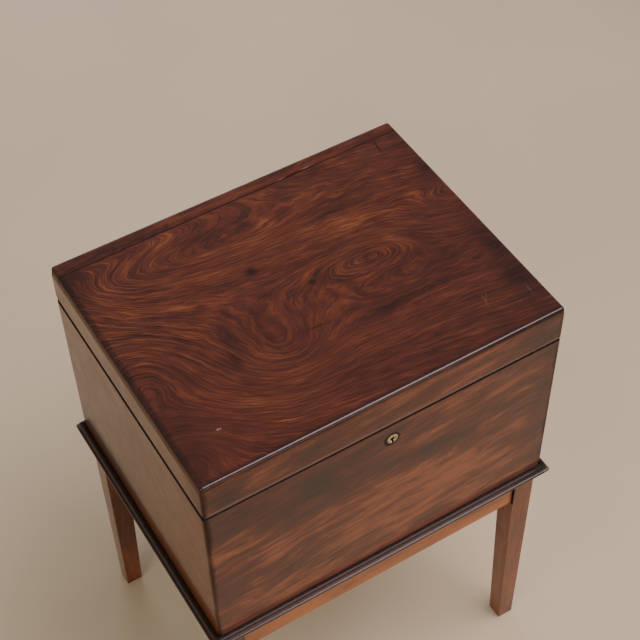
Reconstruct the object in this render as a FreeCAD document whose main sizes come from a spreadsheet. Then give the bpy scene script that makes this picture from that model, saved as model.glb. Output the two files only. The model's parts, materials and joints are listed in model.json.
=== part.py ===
import FreeCAD, Part
import math
import os
import Sketcher
from FreeCAD import Placement, Rotation, Vector

# A Georgian cellarette: a mahogany wine box, with a hinged lid, a lock and twelve bottle cells,
# that stands loose in the moulded rim of a four-legged stand.
#
# Millimetres. +X runs along the front to the right, +Y to the back, +Z up. The origin is on the
# floor, midway between the legs. Four-sided work (rails, mouldings, walls) is drawn as the front
# piece and turned about Z: side 0 is the front, 1 the right, 2 the back and 3 the left.

SIZES = (
    ("box_wide", 470.0, "box, left to right over the walls"),
    ("box_deep", 368.0, "box, front to back over the walls"),
    ("corner_round", 4.0, "radius of the box's upright corners"),
    ("leg_high", 368.0, "legs and rails, floor to top"),
    ("leg_inset", 3.2, "leg faces stand in from the box's faces by this"),
    ("leg_square", 30.5, "leg, across the square head"),
    ("leg_foot", 23.5, "leg, across the foot of the taper"),
    ("leg_arris", 1.5, "rounding of the leg's outer arris"),
    ("foot_bevel", 1.0, "bevel round the underside of the foot"),
    ("rail_high", 63.0, "rail, top to bottom"),
    ("rail_thick", 20.0, "rail, front to back"),
    ("rail_sunk", 4.0, "rail faces stand in from the leg faces by this"),
    ("rail_round", 3.0, "rounding of the rail's lower outer arris"),
    ("tenon_high", 45.0, "rail tenon, top to bottom"),
    ("tenon_thick", 8.0, "rail tenon, front to back"),
    ("tenon_low", 8.0, "tenon's lower shoulder"),
    ("ledge_thick", 6.0, "ledge of the moulded frame, under the box"),
    ("ledge_in", 44.0, "ledge's inner edge, in from the box's faces"),
    ("rim_high", 6.0, "moulded rim above the ledge"),
    ("rim_out", 10.0, "moulding's reach beyond the box's faces"),
    ("rim_clear", 0.4, "room between the box and the rim"),
    ("bead_r", 2.2, "moulding, radius of the bead"),
    ("hollow_r", 5.0, "moulding, radius of the hollow over the bead"),
    ("cove_r", 5.0, "moulding, radius of the cove"),
    ("block_leg", 14.0, "glue block, each side of its right angle"),
    ("block_long", 80.0, "glue block, length"),
    ("wall_thick", 14.0, "walls of the box and of the lid"),
    ("case_high", 256.8, "box walls, top to bottom"),
    ("seam_gap", 1.4, "gap between box and lid"),
    ("seam_open", 1.6, "what the gap grows by at the front right corner"),
    ("lid_wall", 41.8, "lid walls, top to bottom"),
    ("top_thick", 12.0, "top of the lid"),
    ("top_round", 3.0, "rounding of the lid's top arris"),
    ("strip_deep", 23.0, "strip at the back of the top, at its left end"),
    ("strip_taper", 4.2, "what the strip loses by its right end"),
    ("strip_short", 1.2, "strip's right end stands in by this"),
    ("strip_crack", 0.8, "open joint between the top board and the strip"),
    ("tongue_thick", 4.0, "tongue on the top board, in the strip's groove"),
    ("tongue_long", 5.0, "tongue, how far it stands out"),
    ("mitre_skin", 4.0, "outer skin of a corner that is mitred over the dovetails"),
    ("tail_flare", 1.6, "dovetail, what each side spreads by"),
    ("bottom_thick", 10.0, "bottom board of the box"),
    ("rebate_deep", 7.0, "rebate in the walls for the bottom board"),
    ("part_thick", 7.0, "partitions between the bottle cells"),
    ("part_high", 150.0, "partitions, top to bottom"),
    ("part_housed", 2.0, "partitions, let into the walls by this"),
    ("lap_clear", 0.1, "room in the half laps"),
    ("hinge_x", 150.0, "middle of each hinge, from the middle of the back"),
    ("hinge_long", 60.0, "hinge, length"),
    ("leaf_deep", 12.5, "hinge leaf, from the pin to its front edge"),
    ("leaf_thick", 2.6, "hinge leaf, thickness"),
    ("leaf_stop", 47.8, "slope of the leaf's back edge, in degrees"),
    ("leaf_screws_in", 4.8, "hinge screws, in from the leaf's front edge"),
    ("leaf_screws_apart", 20.0, "hinge screws, from one to the next"),
    ("knuckle_r", 2.1, "hinge knuckle, radius"),
    ("pin_r", 1.0, "hinge pin, radius"),
    ("pin_clear", 0.05, "room round the hinge pin in the lid's leaf"),
    ("knuckle_clear", 0.2, "room round a knuckle in the other leaf"),
    ("knuckle_gap", 0.3, "gap between one knuckle and the next"),
    ("lock_x", 3.0, "middle of the lock, right of the middle of the front"),
    ("key_drop", 26.5, "lock's pin, below the top of the box"),
    ("plate_wide", 76.0, "lock plate, left to right"),
    ("plate_high", 39.7, "lock plate, top to bottom"),
    ("plate_thick", 1.5, "lock plate, thickness"),
    ("selvedge_deep", 11.0, "lock's top plate, front to back"),
    ("selvedge_thick", 2.0, "lock's top plate, thickness"),
    ("cap_wide", 62.0, "lock cap, left to right"),
    ("cap_deep", 10.0, "lock cap, from the wall's inner face to its front"),
    ("cap_high", 32.8, "lock cap, from its foot to the top plate"),
    ("cap_thick", 1.0, "lock cap, thickness"),
    ("keyhole_r", 2.75, "keyhole, radius of the round part"),
    ("keyhole_slot", 2.3, "keyhole, width of the slot"),
    ("keyhole_long", 7.3, "keyhole, from the round part's middle to the slot's end"),
    ("key_pin_r", 1.2, "pin that a key turns on, radius"),
    ("bolt_travel", 8.0, "lock bolt, how far it slides"),
    ("bolt_thick", 2.8, "lock bolt, front to back"),
    ("link_x", 14.0, "links on the lid, each side of the lock's middle"),
    ("link_thick", 3.0, "link, left to right"),
    ("link_deep", 6.0, "link, front to back"),
    ("link_long", 12.8, "link, below the link plate's face"),
    ("link_plate_thick", 1.6, "link plate, thickness"),
    ("ring_r", 7.3, "escutcheon, outer radius"),
    ("ring_sunk", 2.0, "escutcheon, let into the wall by this"),
    ("ring_proud", 0.7, "escutcheon, height of its rounded face"),
)

os.makedirs("parts", exist_ok=True)
doc = FreeCAD.newDocument("cellarette")


class Size:
    """A length that knows its value and the expression that works it out from the sheet."""

    def __init__(self, value, text):
        self.value = value
        self.text = text

    def __add__(self, other):
        other = size(other)
        return Size(self.value + other.value, f"({self.text} + {other.text})")

    def __sub__(self, other):
        other = size(other)
        return Size(self.value - other.value, f"({self.text} - {other.text})")

    def __mul__(self, number):
        return Size(self.value * number, f"({self.text} * ({number}))")

    def __truediv__(self, number):
        return Size(self.value / number, f"({self.text} / ({number}))")

    def __neg__(self):
        return Size(-self.value, f"(0 - {self.text})")

    __radd__ = __add__
    __rmul__ = __mul__

    def __rsub__(self, other):
        return size(other) - self


def size(length):
    """The length as a Size; a plain number becomes one too."""
    if isinstance(length, Size):
        return length
    return Size(float(length), f"({float(length)})")


def make_sheet():
    """The spreadsheet of driving sizes, and the same sizes by name."""
    sheet = doc.addObject("Spreadsheet::Sheet", "Sizes")
    named = {}
    for row, (alias, value, meaning) in enumerate(SIZES, start=1):
        sheet.set(f"A{row}", meaning)
        sheet.set(f"B{row}", str(value))
        sheet.setAlias(f"B{row}", alias)
        named[alias] = Size(value, f"Sizes.{alias}")
    doc.recompute()
    return named


S = make_sheet()

# Heights from the floor.
LEDGE_TOP = S["leg_high"] + S["ledge_thick"]
CASE_TOP = LEDGE_TOP + S["case_high"]
SEAM = CASE_TOP + S["seam_gap"] / 2
LID_FOOT = CASE_TOP + S["seam_gap"]
TOP_FOOT = LID_FOOT + S["lid_wall"]
LID_TOP = TOP_FOOT + S["top_thick"]
KEY_Z = CASE_TOP - S["key_drop"]
FLOOR_OF_BOX = LEDGE_TOP + S["bottom_thick"]

HALF_WIDE = S["box_wide"] / 2
HALF_DEEP = S["box_deep"] / 2
SIDES = ("front", "right", "back", "left")


def side_reach(side):
    """How far a side's outer face is from the middle, and half the length of that face."""
    return (HALF_DEEP, HALF_WIDE) if side % 2 == 0 else (HALF_WIDE, HALF_DEEP)


def turned(side):
    """The turn that carries a piece drawn at the front to its own side."""
    return Placement(Vector(0, 0, 0), Rotation(Vector(0, 0, 1), 90 * side))


# Objects of the document.

nodes = {}


def node(name, thing):
    """Names a finished piece, which is one node of the part."""
    thing.Label = name
    nodes[name] = thing
    return thing


def bind(thing, **lengths):
    """Sets each property of the thing to a length from the sheet."""
    for name, length in lengths.items():
        thing.setExpression(name.replace("__", "."), size(length).text)
    return thing


def block(low, sides):
    """A plain block, from its low corner and its three sides."""
    made = doc.addObject("Part::Box", "Block")
    bind(made, Length=sides[0], Width=sides[1], Height=sides[2])
    return at(made, low)


def at(thing, place):
    """Puts the thing's own origin at a place."""
    x, y, z = place
    return bind(thing, Placement__Base__x=x, Placement__Base__y=y, Placement__Base__z=z)


def rod(start, along, radius, length):
    """A round bar from its start along +X or +Y."""
    turns = {"x": Rotation(Vector(0, 1, 0), 90), "y": Rotation(Vector(1, 0, 0), -90)}
    made = doc.addObject("Part::Cylinder", "Rod")
    made.Placement = Placement(Vector(0, 0, 0), turns[along])
    bind(made, Radius=radius, Height=length)
    return at(made, start)


def wedge(x_low, x_high, y_low, y_high, z_low, z_high):
    """A block that tapers along Y: the x and z limits are pairs, at its low y and at its high y."""
    made = doc.addObject("Part::Wedge", "Wedge")
    bind(made, Xmin=x_low[0], Xmax=x_high[0], X2min=x_low[1], X2max=x_high[1], Ymin=y_low, Ymax=y_high)
    return bind(made, Zmin=z_low[0], Zmax=z_high[0], Z2min=z_low[1], Z2max=z_high[1])


def fuse(things):
    """Several solids made one."""
    made = doc.addObject("Part::MultiFuse", "Fusion")
    made.Shapes = things
    made.Refine = True
    return made


def group(things):
    """Several solids kept apart in one object, to cut with."""
    made = doc.addObject("Part::Compound", "Group")
    made.Links = things
    return made


def cut(base, tools):
    """The base with each of the tools cut away in turn."""
    for tool in tools:
        made = doc.addObject("Part::Cut", "Cut")
        made.Base = base
        made.Tool = tool
        base = made
    return base


def common(base, tool):
    """What the two have in common."""
    made = doc.addObject("Part::Common", "Common")
    made.Base = base
    made.Tool = tool
    return made


def turn_to(thing, side):
    """Turns a thing that is drawn at the front to its side."""
    thing.Placement = turned(side)
    return thing


# Sketches and the features made from them.


def new_body(name):
    return doc.addObject("PartDesign::Body", name)


def centre_of_arc(start, end, radius, turn):
    """The centre of the short arc from start to end; turn is 1 for anticlockwise, -1 for clockwise."""
    chord = end - start
    middle = (start + end) * 0.5
    rise = math.sqrt(radius * radius - chord.Length * chord.Length / 4)
    left = Vector(-chord.y, chord.x, 0) / chord.Length
    return middle + left * rise * turn


def draw_outline(sketch, outline):
    """Draws one closed outline: a corner (x, y) is reached by a line, (x, y, radius, turn) by an arc."""
    spots = [Vector(size(corner[0]).value, size(corner[1]).value, 0) for corner in outline]
    first = sketch.GeometryCount
    ends = []
    for index, corner in enumerate(outline):
        start, end = spots[index - 1], spots[index]
        if len(corner) == 2:
            sketch.addGeometry(Part.LineSegment(start, end), False)
            ends.append((1, 2))
            continue
        radius, turn = size(corner[2]), corner[3]
        centre = centre_of_arc(start, end, radius.value, turn)
        circle = Part.Circle(centre, Vector(0, 0, 1), radius.value)
        low, high = (start, end) if turn > 0 else (end, start)
        angles = [math.atan2(spot.y - centre.y, spot.x - centre.x) for spot in (low, high)]
        sketch.addGeometry(Part.ArcOfCircle(circle, angles[0], angles[1]), False)
        ends.append((1, 2) if turn > 0 else (2, 1))
        number = sketch.addConstraint(Sketcher.Constraint("Radius", first + index, radius.value))
        sketch.setExpression(f"Constraints[{number}]", radius.text)
    count = len(outline)
    for index, corner in enumerate(outline):
        last = (index - 1) % count
        sketch.addConstraint(
            Sketcher.Constraint("Coincident", first + last, ends[last][1], first + index, ends[index][0])
        )
        for kind, length in (("DistanceX", corner[0]), ("DistanceY", corner[1])):
            length = size(length)
            number = sketch.addConstraint(
                Sketcher.Constraint(kind, -1, 1, first + index, ends[index][1], length.value)
            )
            sketch.setExpression(f"Constraints[{number}]", length.text)


def new_sketch(body, plane, outlines=(), lift=0.0):
    """A sketch on one of the body's own planes, lifted along that plane's normal."""
    sketch = body.newObject("Sketcher::SketchObject", "Sketch")
    planes = [feature for feature in body.Origin.OriginFeatures if feature.Role == plane]
    sketch.AttachmentSupport = [(planes[0], "")]
    sketch.MapMode = "FlatFace"
    bind(sketch, AttachmentOffset__Base__z=lift)
    for outline in outlines:
        draw_outline(sketch, outline)
    return sketch


def pad(body, sketch, length, middle=False):
    """Pads the sketch along its normal, or both ways from its plane."""
    made = body.newObject("PartDesign::Pad", "Pad")
    made.Profile = sketch
    made.SideType = "Symmetric" if middle else "One side"
    bind(made, Length=length)
    sketch.Visibility = False
    return made


def pocket(body, sketch, length=None):
    """Cuts the sketch down from its plane, or right through both ways where no length is given."""
    doc.recompute()
    before = body.Shape.Volume
    made = body.newObject("PartDesign::Pocket", "Pocket")
    made.Profile = sketch
    if length is None:
        made.Type = "ThroughAll"
        made.SideType = "Symmetric"
    else:
        bind(made, Length=length)
    doc.recompute()
    if not body.Shape.Volume < before:
        raise RuntimeError(f"a pocket in {body.Label} cuts nothing")
    return made


def soften(body, kind, distance, wanted):
    """Rounds or bevels the edges of the body so far whose two ends both pass the test."""
    doc.recompute()
    base = body.Tip
    picked = []
    for number, edge in enumerate(base.Shape.Edges, start=1):
        if all(wanted(vertex.Point) for vertex in edge.Vertexes):
            picked.append(f"Edge{number}")
    made = body.newObject("PartDesign::" + kind, kind)
    made.Base = (base, picked)
    bind(made, **{"Radius" if kind == "Fillet" else "Size": distance})
    return made


def near(a, b):
    return abs(a - b) < 0.01


# Screws. One screw stands with its head flush at the origin and its shank down -Z. Each kind is its
# length, the radius of its head and the radius of its shank.

RIM_SCREW = (25.0, 3.6, 1.9)
BOTTOM_SCREW = (20.0, 2.9, 1.5)
BRASS_SCREW = (14.0, 2.7, 1.4)
LOCK_SCREW = (9.0, 2.5, 1.3)
SLOT_WIDE = 0.7
SLOT_DEEP = 0.8
HOLE_SLACK = 0.05

DOWN, UP, TO_FRONT = (
    Rotation(),
    Rotation(Vector(1, 0, 0), 180),
    Rotation(Vector(1, 0, 0), -90),
)


def screw_shape(length, head_r, shank_r, slack=0.0):
    """A countersunk slotted wood screw, or with slack, the plain hole that it fills."""
    head_deep = head_r - shank_r
    tip_long = 1.5 * shank_r
    r_head, r_shank = head_r + slack, shank_r + slack
    head = Part.makeCone(r_shank, r_head, head_deep, Vector(0, 0, -head_deep))
    shank_end = -(length - tip_long)
    shank = Part.makeCylinder(r_shank, -shank_end - head_deep, Vector(0, 0, shank_end))
    tip_r = 0.3 * shank_r + slack
    tip = Part.makeCone(tip_r, r_shank, tip_long + slack, Vector(0, 0, -length - slack))
    whole = head.multiFuse([shank, tip]).removeSplitter()
    if slack:
        mouth = Part.makeCylinder(r_head, 2.0)
        return whole.fuse(mouth).removeSplitter()
    corner = Vector(-head_r, -SLOT_WIDE / 2, -SLOT_DEEP)
    return whole.cut(Part.makeBox(2 * head_r, SLOT_WIDE, SLOT_DEEP, corner))


def screws(name, spots, way, kind, sunk=0.25):
    """A group of like screws as one node, and the holes for them as a tool to cut with."""
    inward = way.multVec(Vector(0, 0, -sunk))
    places = [Placement(Vector(*[size(c).value for c in spot]) + inward, way) for spot in spots]
    made = doc.addObject("Part::Feature", name)
    holes = doc.addObject("Part::Feature", name + "_holes")
    solids = []
    hollows = []
    for place in places:
        solid = screw_shape(*kind)
        solid.Placement = place
        solids.append(solid)
        hollow = screw_shape(*kind, slack=HOLE_SLACK)
        hollow.Placement = place
        hollows.append(hollow)
    made.Shape = Part.makeCompound(solids)
    holes.Shape = Part.makeCompound(hollows)
    node(name, made)
    return holes


# The stand: four tapered legs, four rails tenoned into them, and the moulded frame on top.


def make_leg(name, side):
    """A leg, drawn with its outer corner at the origin and its inner faces towards +X and +Y."""
    square, foot = S["leg_square"], S["leg_foot"]
    taper_top = S["leg_high"] - S["rail_high"]
    body = new_body(name)
    plan = ((0, 0), (square, 0), (square, square), (0, square))
    pad(body, new_sketch(body, "XY_Plane", [plan]), S["leg_high"])
    taper = ((square, taper_top), (foot, 0), (square, 0))
    for plane in ("XZ_Plane", "YZ_Plane"):
        pocket(body, new_sketch(body, plane, [taper]))
    near_face = S["rail_sunk"] + (S["rail_thick"] - S["tenon_thick"]) / 2
    far_face = near_face + S["tenon_thick"]
    mortises = (
        (near_face, near_face),
        (square, near_face),
        (square, far_face),
        (far_face, far_face),
        (far_face, square),
        (near_face, square),
    )
    mortise_top = taper_top + S["tenon_low"] + S["tenon_high"]
    pocket(body, new_sketch(body, "XY_Plane", [mortises], mortise_top), S["tenon_high"])
    soften(body, "Fillet", S["leg_arris"], lambda p: near(p.x, 0) and near(p.y, 0))
    soften(body, "Chamfer", S["foot_bevel"], lambda p: near(p.z, 0))
    left, front = -HALF_WIDE + S["leg_inset"], -HALF_DEEP + S["leg_inset"]
    corners = ((left, front), (-left, front), (-left, -front), (left, -front))
    turn_to(body, side)
    at(body, (corners[side][0], corners[side][1], 0))
    return node(name, body)


def make_rail(side):
    """A rail between two legs, with a tenon at each end that is mitred to meet its neighbour's."""
    reach, half = side_reach(side)
    face = -reach + S["leg_inset"] + S["rail_sunk"]
    shoulder = half - S["leg_inset"] - S["leg_square"]
    body = new_body("rail_blank")
    low = S["leg_high"] - S["rail_high"]
    back = face + S["rail_thick"]
    plan = ((-shoulder, face), (shoulder, face), (shoulder, back), (-shoulder, back))
    pad(body, new_sketch(body, "XY_Plane", [plan], low), S["rail_high"])
    cheek = face + (S["rail_thick"] - S["tenon_thick"]) / 2
    far_cheek = cheek + S["tenon_thick"]
    to_tip = half - S["leg_inset"] - (cheek + reach - S["leg_inset"])
    to_heel = to_tip - S["tenon_thick"]
    right = ((shoulder, cheek), (to_tip, cheek), (to_heel, far_cheek), (shoulder, far_cheek))
    left = ((-shoulder, far_cheek), (-to_heel, far_cheek), (-to_tip, cheek), (-shoulder, cheek))
    pad(body, new_sketch(body, "XY_Plane", [right, left], low + S["tenon_low"]), S["tenon_high"])
    soften(body, "Fillet", S["rail_round"], lambda p: near(p.z, low.value) and near(p.y, face.value))
    turn_to(body, side)
    return body


def make_moulding(side):
    """One side of the mitred frame: a ledge under the box and a moulded rim round it."""
    reach, half = side_reach(side)

    def spot(out, height, *arc):
        return (-reach - out, S["leg_high"] + height, *arc)

    # From the underside outwards and up: a half-round bead, a hollow, a fillet and a cove.
    rim = S["ledge_thick"] + S["rim_high"]
    out = S["rim_out"]
    bead_r, hollow_top, fillet_top = S["bead_r"], 9.4, 10.4
    section = (
        spot(-S["ledge_in"], 0),
        spot(out - bead_r, 0),
        spot(out, bead_r, bead_r, -1),
        spot(out - bead_r, 2 * bead_r, bead_r, -1),
        spot(out - bead_r - 0.5, 2 * bead_r),
        spot(out - 4.5, hollow_top, S["hollow_r"], 1),
        spot(out - 4.5, fillet_top),
        spot(out - 5.4, fillet_top),
        spot(S["rim_clear"] + 0.6, rim, S["cove_r"], 1),
        spot(S["rim_clear"], rim),
        spot(S["rim_clear"], S["ledge_thick"]),
        spot(-S["ledge_in"], S["ledge_thick"]),
    )
    body = new_body("moulding_blank")
    pad(body, new_sketch(body, "YZ_Plane", [section]), 2 * (half + out), middle=True)
    deep = out + S["ledge_in"]
    tip, edge = half + out, -reach - out
    right = ((tip, edge), (tip, edge + deep), (tip - deep, edge + deep))
    left = ((-tip, edge), (-tip + deep, edge + deep), (-tip, edge + deep))
    pocket(body, new_sketch(body, "XY_Plane", [right, left], S["leg_high"]))
    turn_to(body, side)
    return body


def make_glue_block(side):
    """A three-cornered block glued into the angle under the ledge, behind a rail."""
    reach, _ = side_reach(side)
    back_of_rail = -reach + S["leg_inset"] + S["rail_sunk"] + S["rail_thick"]
    top = S["leg_high"]
    leg = S["block_leg"]
    section = ((back_of_rail, top), (back_of_rail, top - leg), (back_of_rail + leg, top))
    name = "glue_block_" + SIDES[side]
    body = new_body(name)
    pad(body, new_sketch(body, "YZ_Plane", [section]), S["block_long"], middle=True)
    turn_to(body, side)
    return node(name, body)


def make_stand():
    """The stand, and the screws down through its moulded frame into the rails."""
    for side, name in enumerate(("front_left", "front_right", "rear_right", "rear_left")):
        make_leg("leg_" + name, side)
    spots = []
    for side in range(4):
        reach, _ = side_reach(side)
        to_rail = reach - S["leg_inset"] - S["rail_sunk"] - S["rail_thick"] / 2
        from_middle = 110.0 if side % 2 == 0 else 80.0
        for shift in (-from_middle, from_middle):
            place = turned(side).multVec(Vector(shift, -to_rail.value, 0))
            spots.append((place.x, place.y, LEDGE_TOP))
    holes = screws("moulding_screws", spots, DOWN, RIM_SCREW)
    for side, name in enumerate(SIDES):
        node("rail_" + name, cut(make_rail(side), [holes]))
        node("moulding_" + name, cut(make_moulding(side), [holes]))
        make_glue_block(side)


# The box and the lid: mitred walls with dovetails hidden inside their corners.


def rounded_envelope():
    """The whole box and lid as one block with rounded corners and a rounded top."""
    body = new_body("envelope")
    wide, deep, r = HALF_WIDE, HALF_DEEP, S["corner_round"]
    plan = (
        (wide - r, -deep),
        (wide, -deep + r, r, 1),
        (wide, deep - r),
        (wide - r, deep, r, 1),
        (-wide + r, deep),
        (-wide, deep - r, r, 1),
        (-wide, -deep + r),
        (-wide + r, -deep, r, 1),
    )
    pad(body, new_sketch(body, "XY_Plane", [plan], LEDGE_TOP), LID_TOP - LEDGE_TOP)
    soften(body, "Fillet", S["top_round"], lambda p: near(p.z, LID_TOP.value))
    return body


def corner_tails(side, foot, high, count):
    """The dovetails of the corner at the right-hand end of the front or the back."""
    reach, half = side_reach(side)
    inner = half - S["wall_thick"]
    outer = half - S["mitre_skin"]
    pitch = high / count
    tails = []
    for number in range(count):
        middle = foot + pitch * (number + 0.5)
        narrow = pitch / 4
        spread = narrow + S["tail_flare"]
        # The wedge tapers along its own Y, which is turned to run out along the wall.
        tail = wedge(
            (reach - S["wall_thick"],) * 2,
            (reach - S["mitre_skin"],) * 2,
            inner,
            outer,
            (middle - narrow, middle - spread),
            (middle + narrow, middle + spread),
        )
        tail.Placement = Placement(Vector(0, 0, 0), Rotation(Vector(0, 0, 1), -90 + 90 * side))
        tails.append(tail)
    return tails


def corner_core(side, foot, high):
    """The square column inside the corner at the right-hand end of a side, behind the mitred skin."""
    reach, half = side_reach(side)
    across = S["wall_thick"] - S["mitre_skin"]
    made = block((0, 0, 0), (across, across, high))
    spot_x = half - S["wall_thick"]
    spot_y = -reach + S["mitre_skin"]
    if side == 2:
        made.Placement = turned(2)
        spot_x, spot_y = -spot_x, -spot_y
    return at(made, (spot_x, spot_y, foot))


def mirror_x(thing):
    """The thing mirrored left to right."""
    made = doc.addObject("Part::Mirroring", "Mirror")
    made.Source = thing
    made.Normal = Vector(1, 0, 0)
    return made


def make_walls(foot, high, tail_count):
    """Four mitred walls round the box or the lid, front, right, back and left."""
    walls = []
    tails = {}
    cores = {}
    for side in (0, 2):
        one_end = group(corner_tails(side, foot, high, tail_count))
        tails[side] = [one_end, mirror_x(one_end)]
        one_core = corner_core(side, foot, high)
        cores[side] = [one_core, mirror_x(one_core)]
    for side in range(4):
        reach, half = side_reach(side)
        thick = S["wall_thick"]
        ends = ((-half, -half + thick), (half, half - thick))
        wall = wedge(*ends, -reach, -reach + thick, (foot, foot), (foot + high, foot + high))
        turn_to(wall, side)
        if side % 2 == 0:
            wall = fuse([cut(wall, cores[side]), *tails[side]])
        else:
            # The right wall takes the first corner of each pair, the left wall the other.
            pick = {1: (0, 1), 3: (1, 0)}[side]
            wall = fuse([wall, cores[0][pick[0]], cores[2][pick[1]]])
            wall = cut(wall, [tails[0][pick[0]], tails[2][pick[1]]])
        walls.append(wall)
    return walls


def slab(low, high):
    """A block between two opposite corners."""
    return block(low, [high[axis] - low[axis] for axis in range(3)])


def make_partitions():
    """Three partitions front to back and two left to right, half lapped, which part twelve cells."""
    inside_wide = HALF_WIDE - S["wall_thick"]
    inside_deep = HALF_DEEP - S["wall_thick"]
    half_thick = S["part_thick"] / 2
    across = [(2 * inside_wide + S["part_thick"]) / 4 * step for step in (-1, 0, 1)]
    along = [(2 * inside_deep + S["part_thick"]) / 3 * step for step in (-0.5, 0.5)]
    top = FLOOR_OF_BOX + S["part_high"]
    lap = FLOOR_OF_BOX + S["part_high"] / 2
    slot = half_thick + S["lap_clear"] / 2

    def comb(reach, centres, from_top):
        """The face of a partition: a board with a slot half its height for each one it crosses."""
        edge, far = (top, FLOOR_OF_BOX) if from_top else (FLOOR_OF_BOX, top)
        points = [(-reach, far), (-reach, edge)]
        for centre in centres:
            low, high = centre - slot, centre + slot
            points += [(low, edge), (low, lap), (high, lap), (high, edge)]
        return points + [(reach, edge), (reach, far)]

    housings = {0: [], 1: [], 2: [], 3: []}
    reach_x = inside_wide + S["part_housed"]
    reach_y = inside_deep + S["part_housed"]
    for name, y in zip(("front", "rear"), along):
        body = new_body("partition_long_" + name)
        sketch = new_sketch(body, "XZ_Plane", [comb(reach_x, across, True)], -y)
        pad(body, sketch, S["part_thick"], middle=True)
        node("partition_long_" + name, body)
        for side in (1, 3):
            housings[side].append(
                slab((-reach_x, y - half_thick, FLOOR_OF_BOX), (reach_x, y + half_thick, top))
            )
    for name, x in zip(("left", "middle", "right"), across):
        body = new_body("partition_cross_" + name)
        sketch = new_sketch(body, "YZ_Plane", [comb(reach_y, along, False)], x)
        pad(body, sketch, S["part_thick"], middle=True)
        node("partition_cross_" + name, body)
        for side in (0, 2):
            housings[side].append(
                slab((x - half_thick, -reach_y, FLOOR_OF_BOX), (x + half_thick, reach_y, top))
            )
    return housings


def make_bottom():
    """The bottom board in its rebate, and the screws up through it into the walls."""
    reach_x = HALF_WIDE - S["wall_thick"] + S["rebate_deep"]
    reach_y = HALF_DEEP - S["wall_thick"] + S["rebate_deep"]
    plan = ((-reach_x, -reach_y), (reach_x, -reach_y), (reach_x, reach_y), (-reach_x, reach_y))
    body = new_body("bottom_blank")
    pad(body, new_sketch(body, "XY_Plane", [plan], LEDGE_TOP), S["bottom_thick"])
    to_edge = S["rebate_deep"] / 2
    line_x, line_y = reach_x - to_edge, reach_y - to_edge
    spots = [(x, y, LEDGE_TOP) for y in (-line_y, line_y) for x in (-160, 0, 160)]
    spots += [(x, y, LEDGE_TOP) for x in (-line_x, line_x) for y in (-90, 90)]
    holes = screws("bottom_screws", spots, UP, BOTTOM_SCREW)
    node("case_bottom", cut(body, [holes]))
    rebate = slab((-reach_x, -reach_y, LEDGE_TOP), (reach_x, reach_y, FLOOR_OF_BOX))
    return [rebate, holes]


# Hinges. Each leaf's back edge slopes away from the pin, and the two slopes meet when the lid is
# 95 degrees open, which stops it.


def make_hinges():
    """Both hinges. The pins stay in the box's leaves."""
    hand = {"left": -S["hinge_x"], "right": S["hinge_x"]}
    recess_high = S["leaf_thick"] - S["seam_gap"] / 2
    front_edge = HALF_DEEP - S["leaf_deep"]
    spots = []
    for middle in hand.values():
        for step in (-1, 0, 1):
            x = middle + S["leaf_screws_apart"] * step
            spots.append((x, front_edge + S["leaf_screws_in"], SEAM))
    holes = {
        "case": screws("hinge_screws_case", spots, DOWN, BRASS_SCREW),
        "lid": screws("hinge_screws_lid", spots, UP, BRASS_SCREW),
    }
    slope = 1 / math.tan(math.radians(S["leaf_stop"].value))
    count = 5
    pitch = S["hinge_long"] / count
    for name, middle in hand.items():
        start = middle - S["hinge_long"] / 2
        for owner, way in (("case", -1), ("lid", 1)):
            outer = SEAM + S["leaf_thick"] * way
            section = (
                (front_edge, SEAM),
                (HALF_DEEP, SEAM),
                (HALF_DEEP + S["leaf_thick"] * slope, outer),
                (front_edge, outer),
            )
            plate = new_body("leaf_plate")
            pad(plate, new_sketch(plate, "YZ_Plane", [section], middle), S["hinge_long"], middle=True)
            own = []
            slots = []
            for number in range(count):
                low = start + pitch * number
                if (number % 2 == 0) == (owner == "case"):
                    inset = S["knuckle_gap"] / 2
                    own.append(
                        rod((low + inset, HALF_DEEP, SEAM), "x", S["knuckle_r"], pitch - 2 * inset)
                    )
                else:
                    slots.append(
                        rod((low, HALF_DEEP, SEAM), "x", S["knuckle_r"] + S["knuckle_clear"], pitch)
                    )
            bore_r = S["pin_r"] if owner == "case" else S["pin_r"] + S["pin_clear"]
            bore = rod((start, HALF_DEEP, SEAM), "x", bore_r, S["hinge_long"])
            leaf = cut(fuse([cut(plate, [group(slots)]), *own]), [bore, holes[owner]])
            node(f"hinge_leaf_{owner}_{name}", leaf)
        pin = rod((start, HALF_DEEP, SEAM), "x", S["pin_r"], S["hinge_long"])
        node("hinge_pin_" + name, pin)
    recesses = {}
    for owner, low in (("case", CASE_TOP - recess_high), ("lid", LID_FOOT)):
        beds = [
            slab(
                (middle - S["hinge_long"] / 2, front_edge, low),
                (middle + S["hinge_long"] / 2, HALF_DEEP, low + recess_high),
            )
            for middle in hand.values()
        ]
        recesses[owner] = [group(beds), holes[owner]]
    return recesses


# The lock: plate and cap in the front wall, a sliding bolt between them, and links on the lid.

LOCK_X = S["lock_x"]
INNER_FACE = -HALF_DEEP + S["wall_thick"]
BOLT_MIDDLE = INNER_FACE - 5.6
BAR_FOOT = KEY_Z + 6.7
BAR_HIGH = 7.0
BAR_TOP = BAR_FOOT + BAR_HIGH
STUMPS = (-16.0, 12.0)
STUMP_R = 1.5
STUMP_Z = BAR_FOOT + BAR_HIGH / 2
EYE_FOOT = BAR_TOP + 3.2
EYE_HIGH = 4.4
EYE_DEEP = 4.0


def keyhole(front, back, radius, slot, long):
    """A keyhole from one y to another: a round hole with a slot below."""
    deep = back - front
    return fuse(
        [
            rod((LOCK_X, front, KEY_Z), "y", radius, deep),
            slab((LOCK_X - slot / 2, front, KEY_Z - long), (LOCK_X + slot / 2, back, KEY_Z)),
        ]
    )


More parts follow.
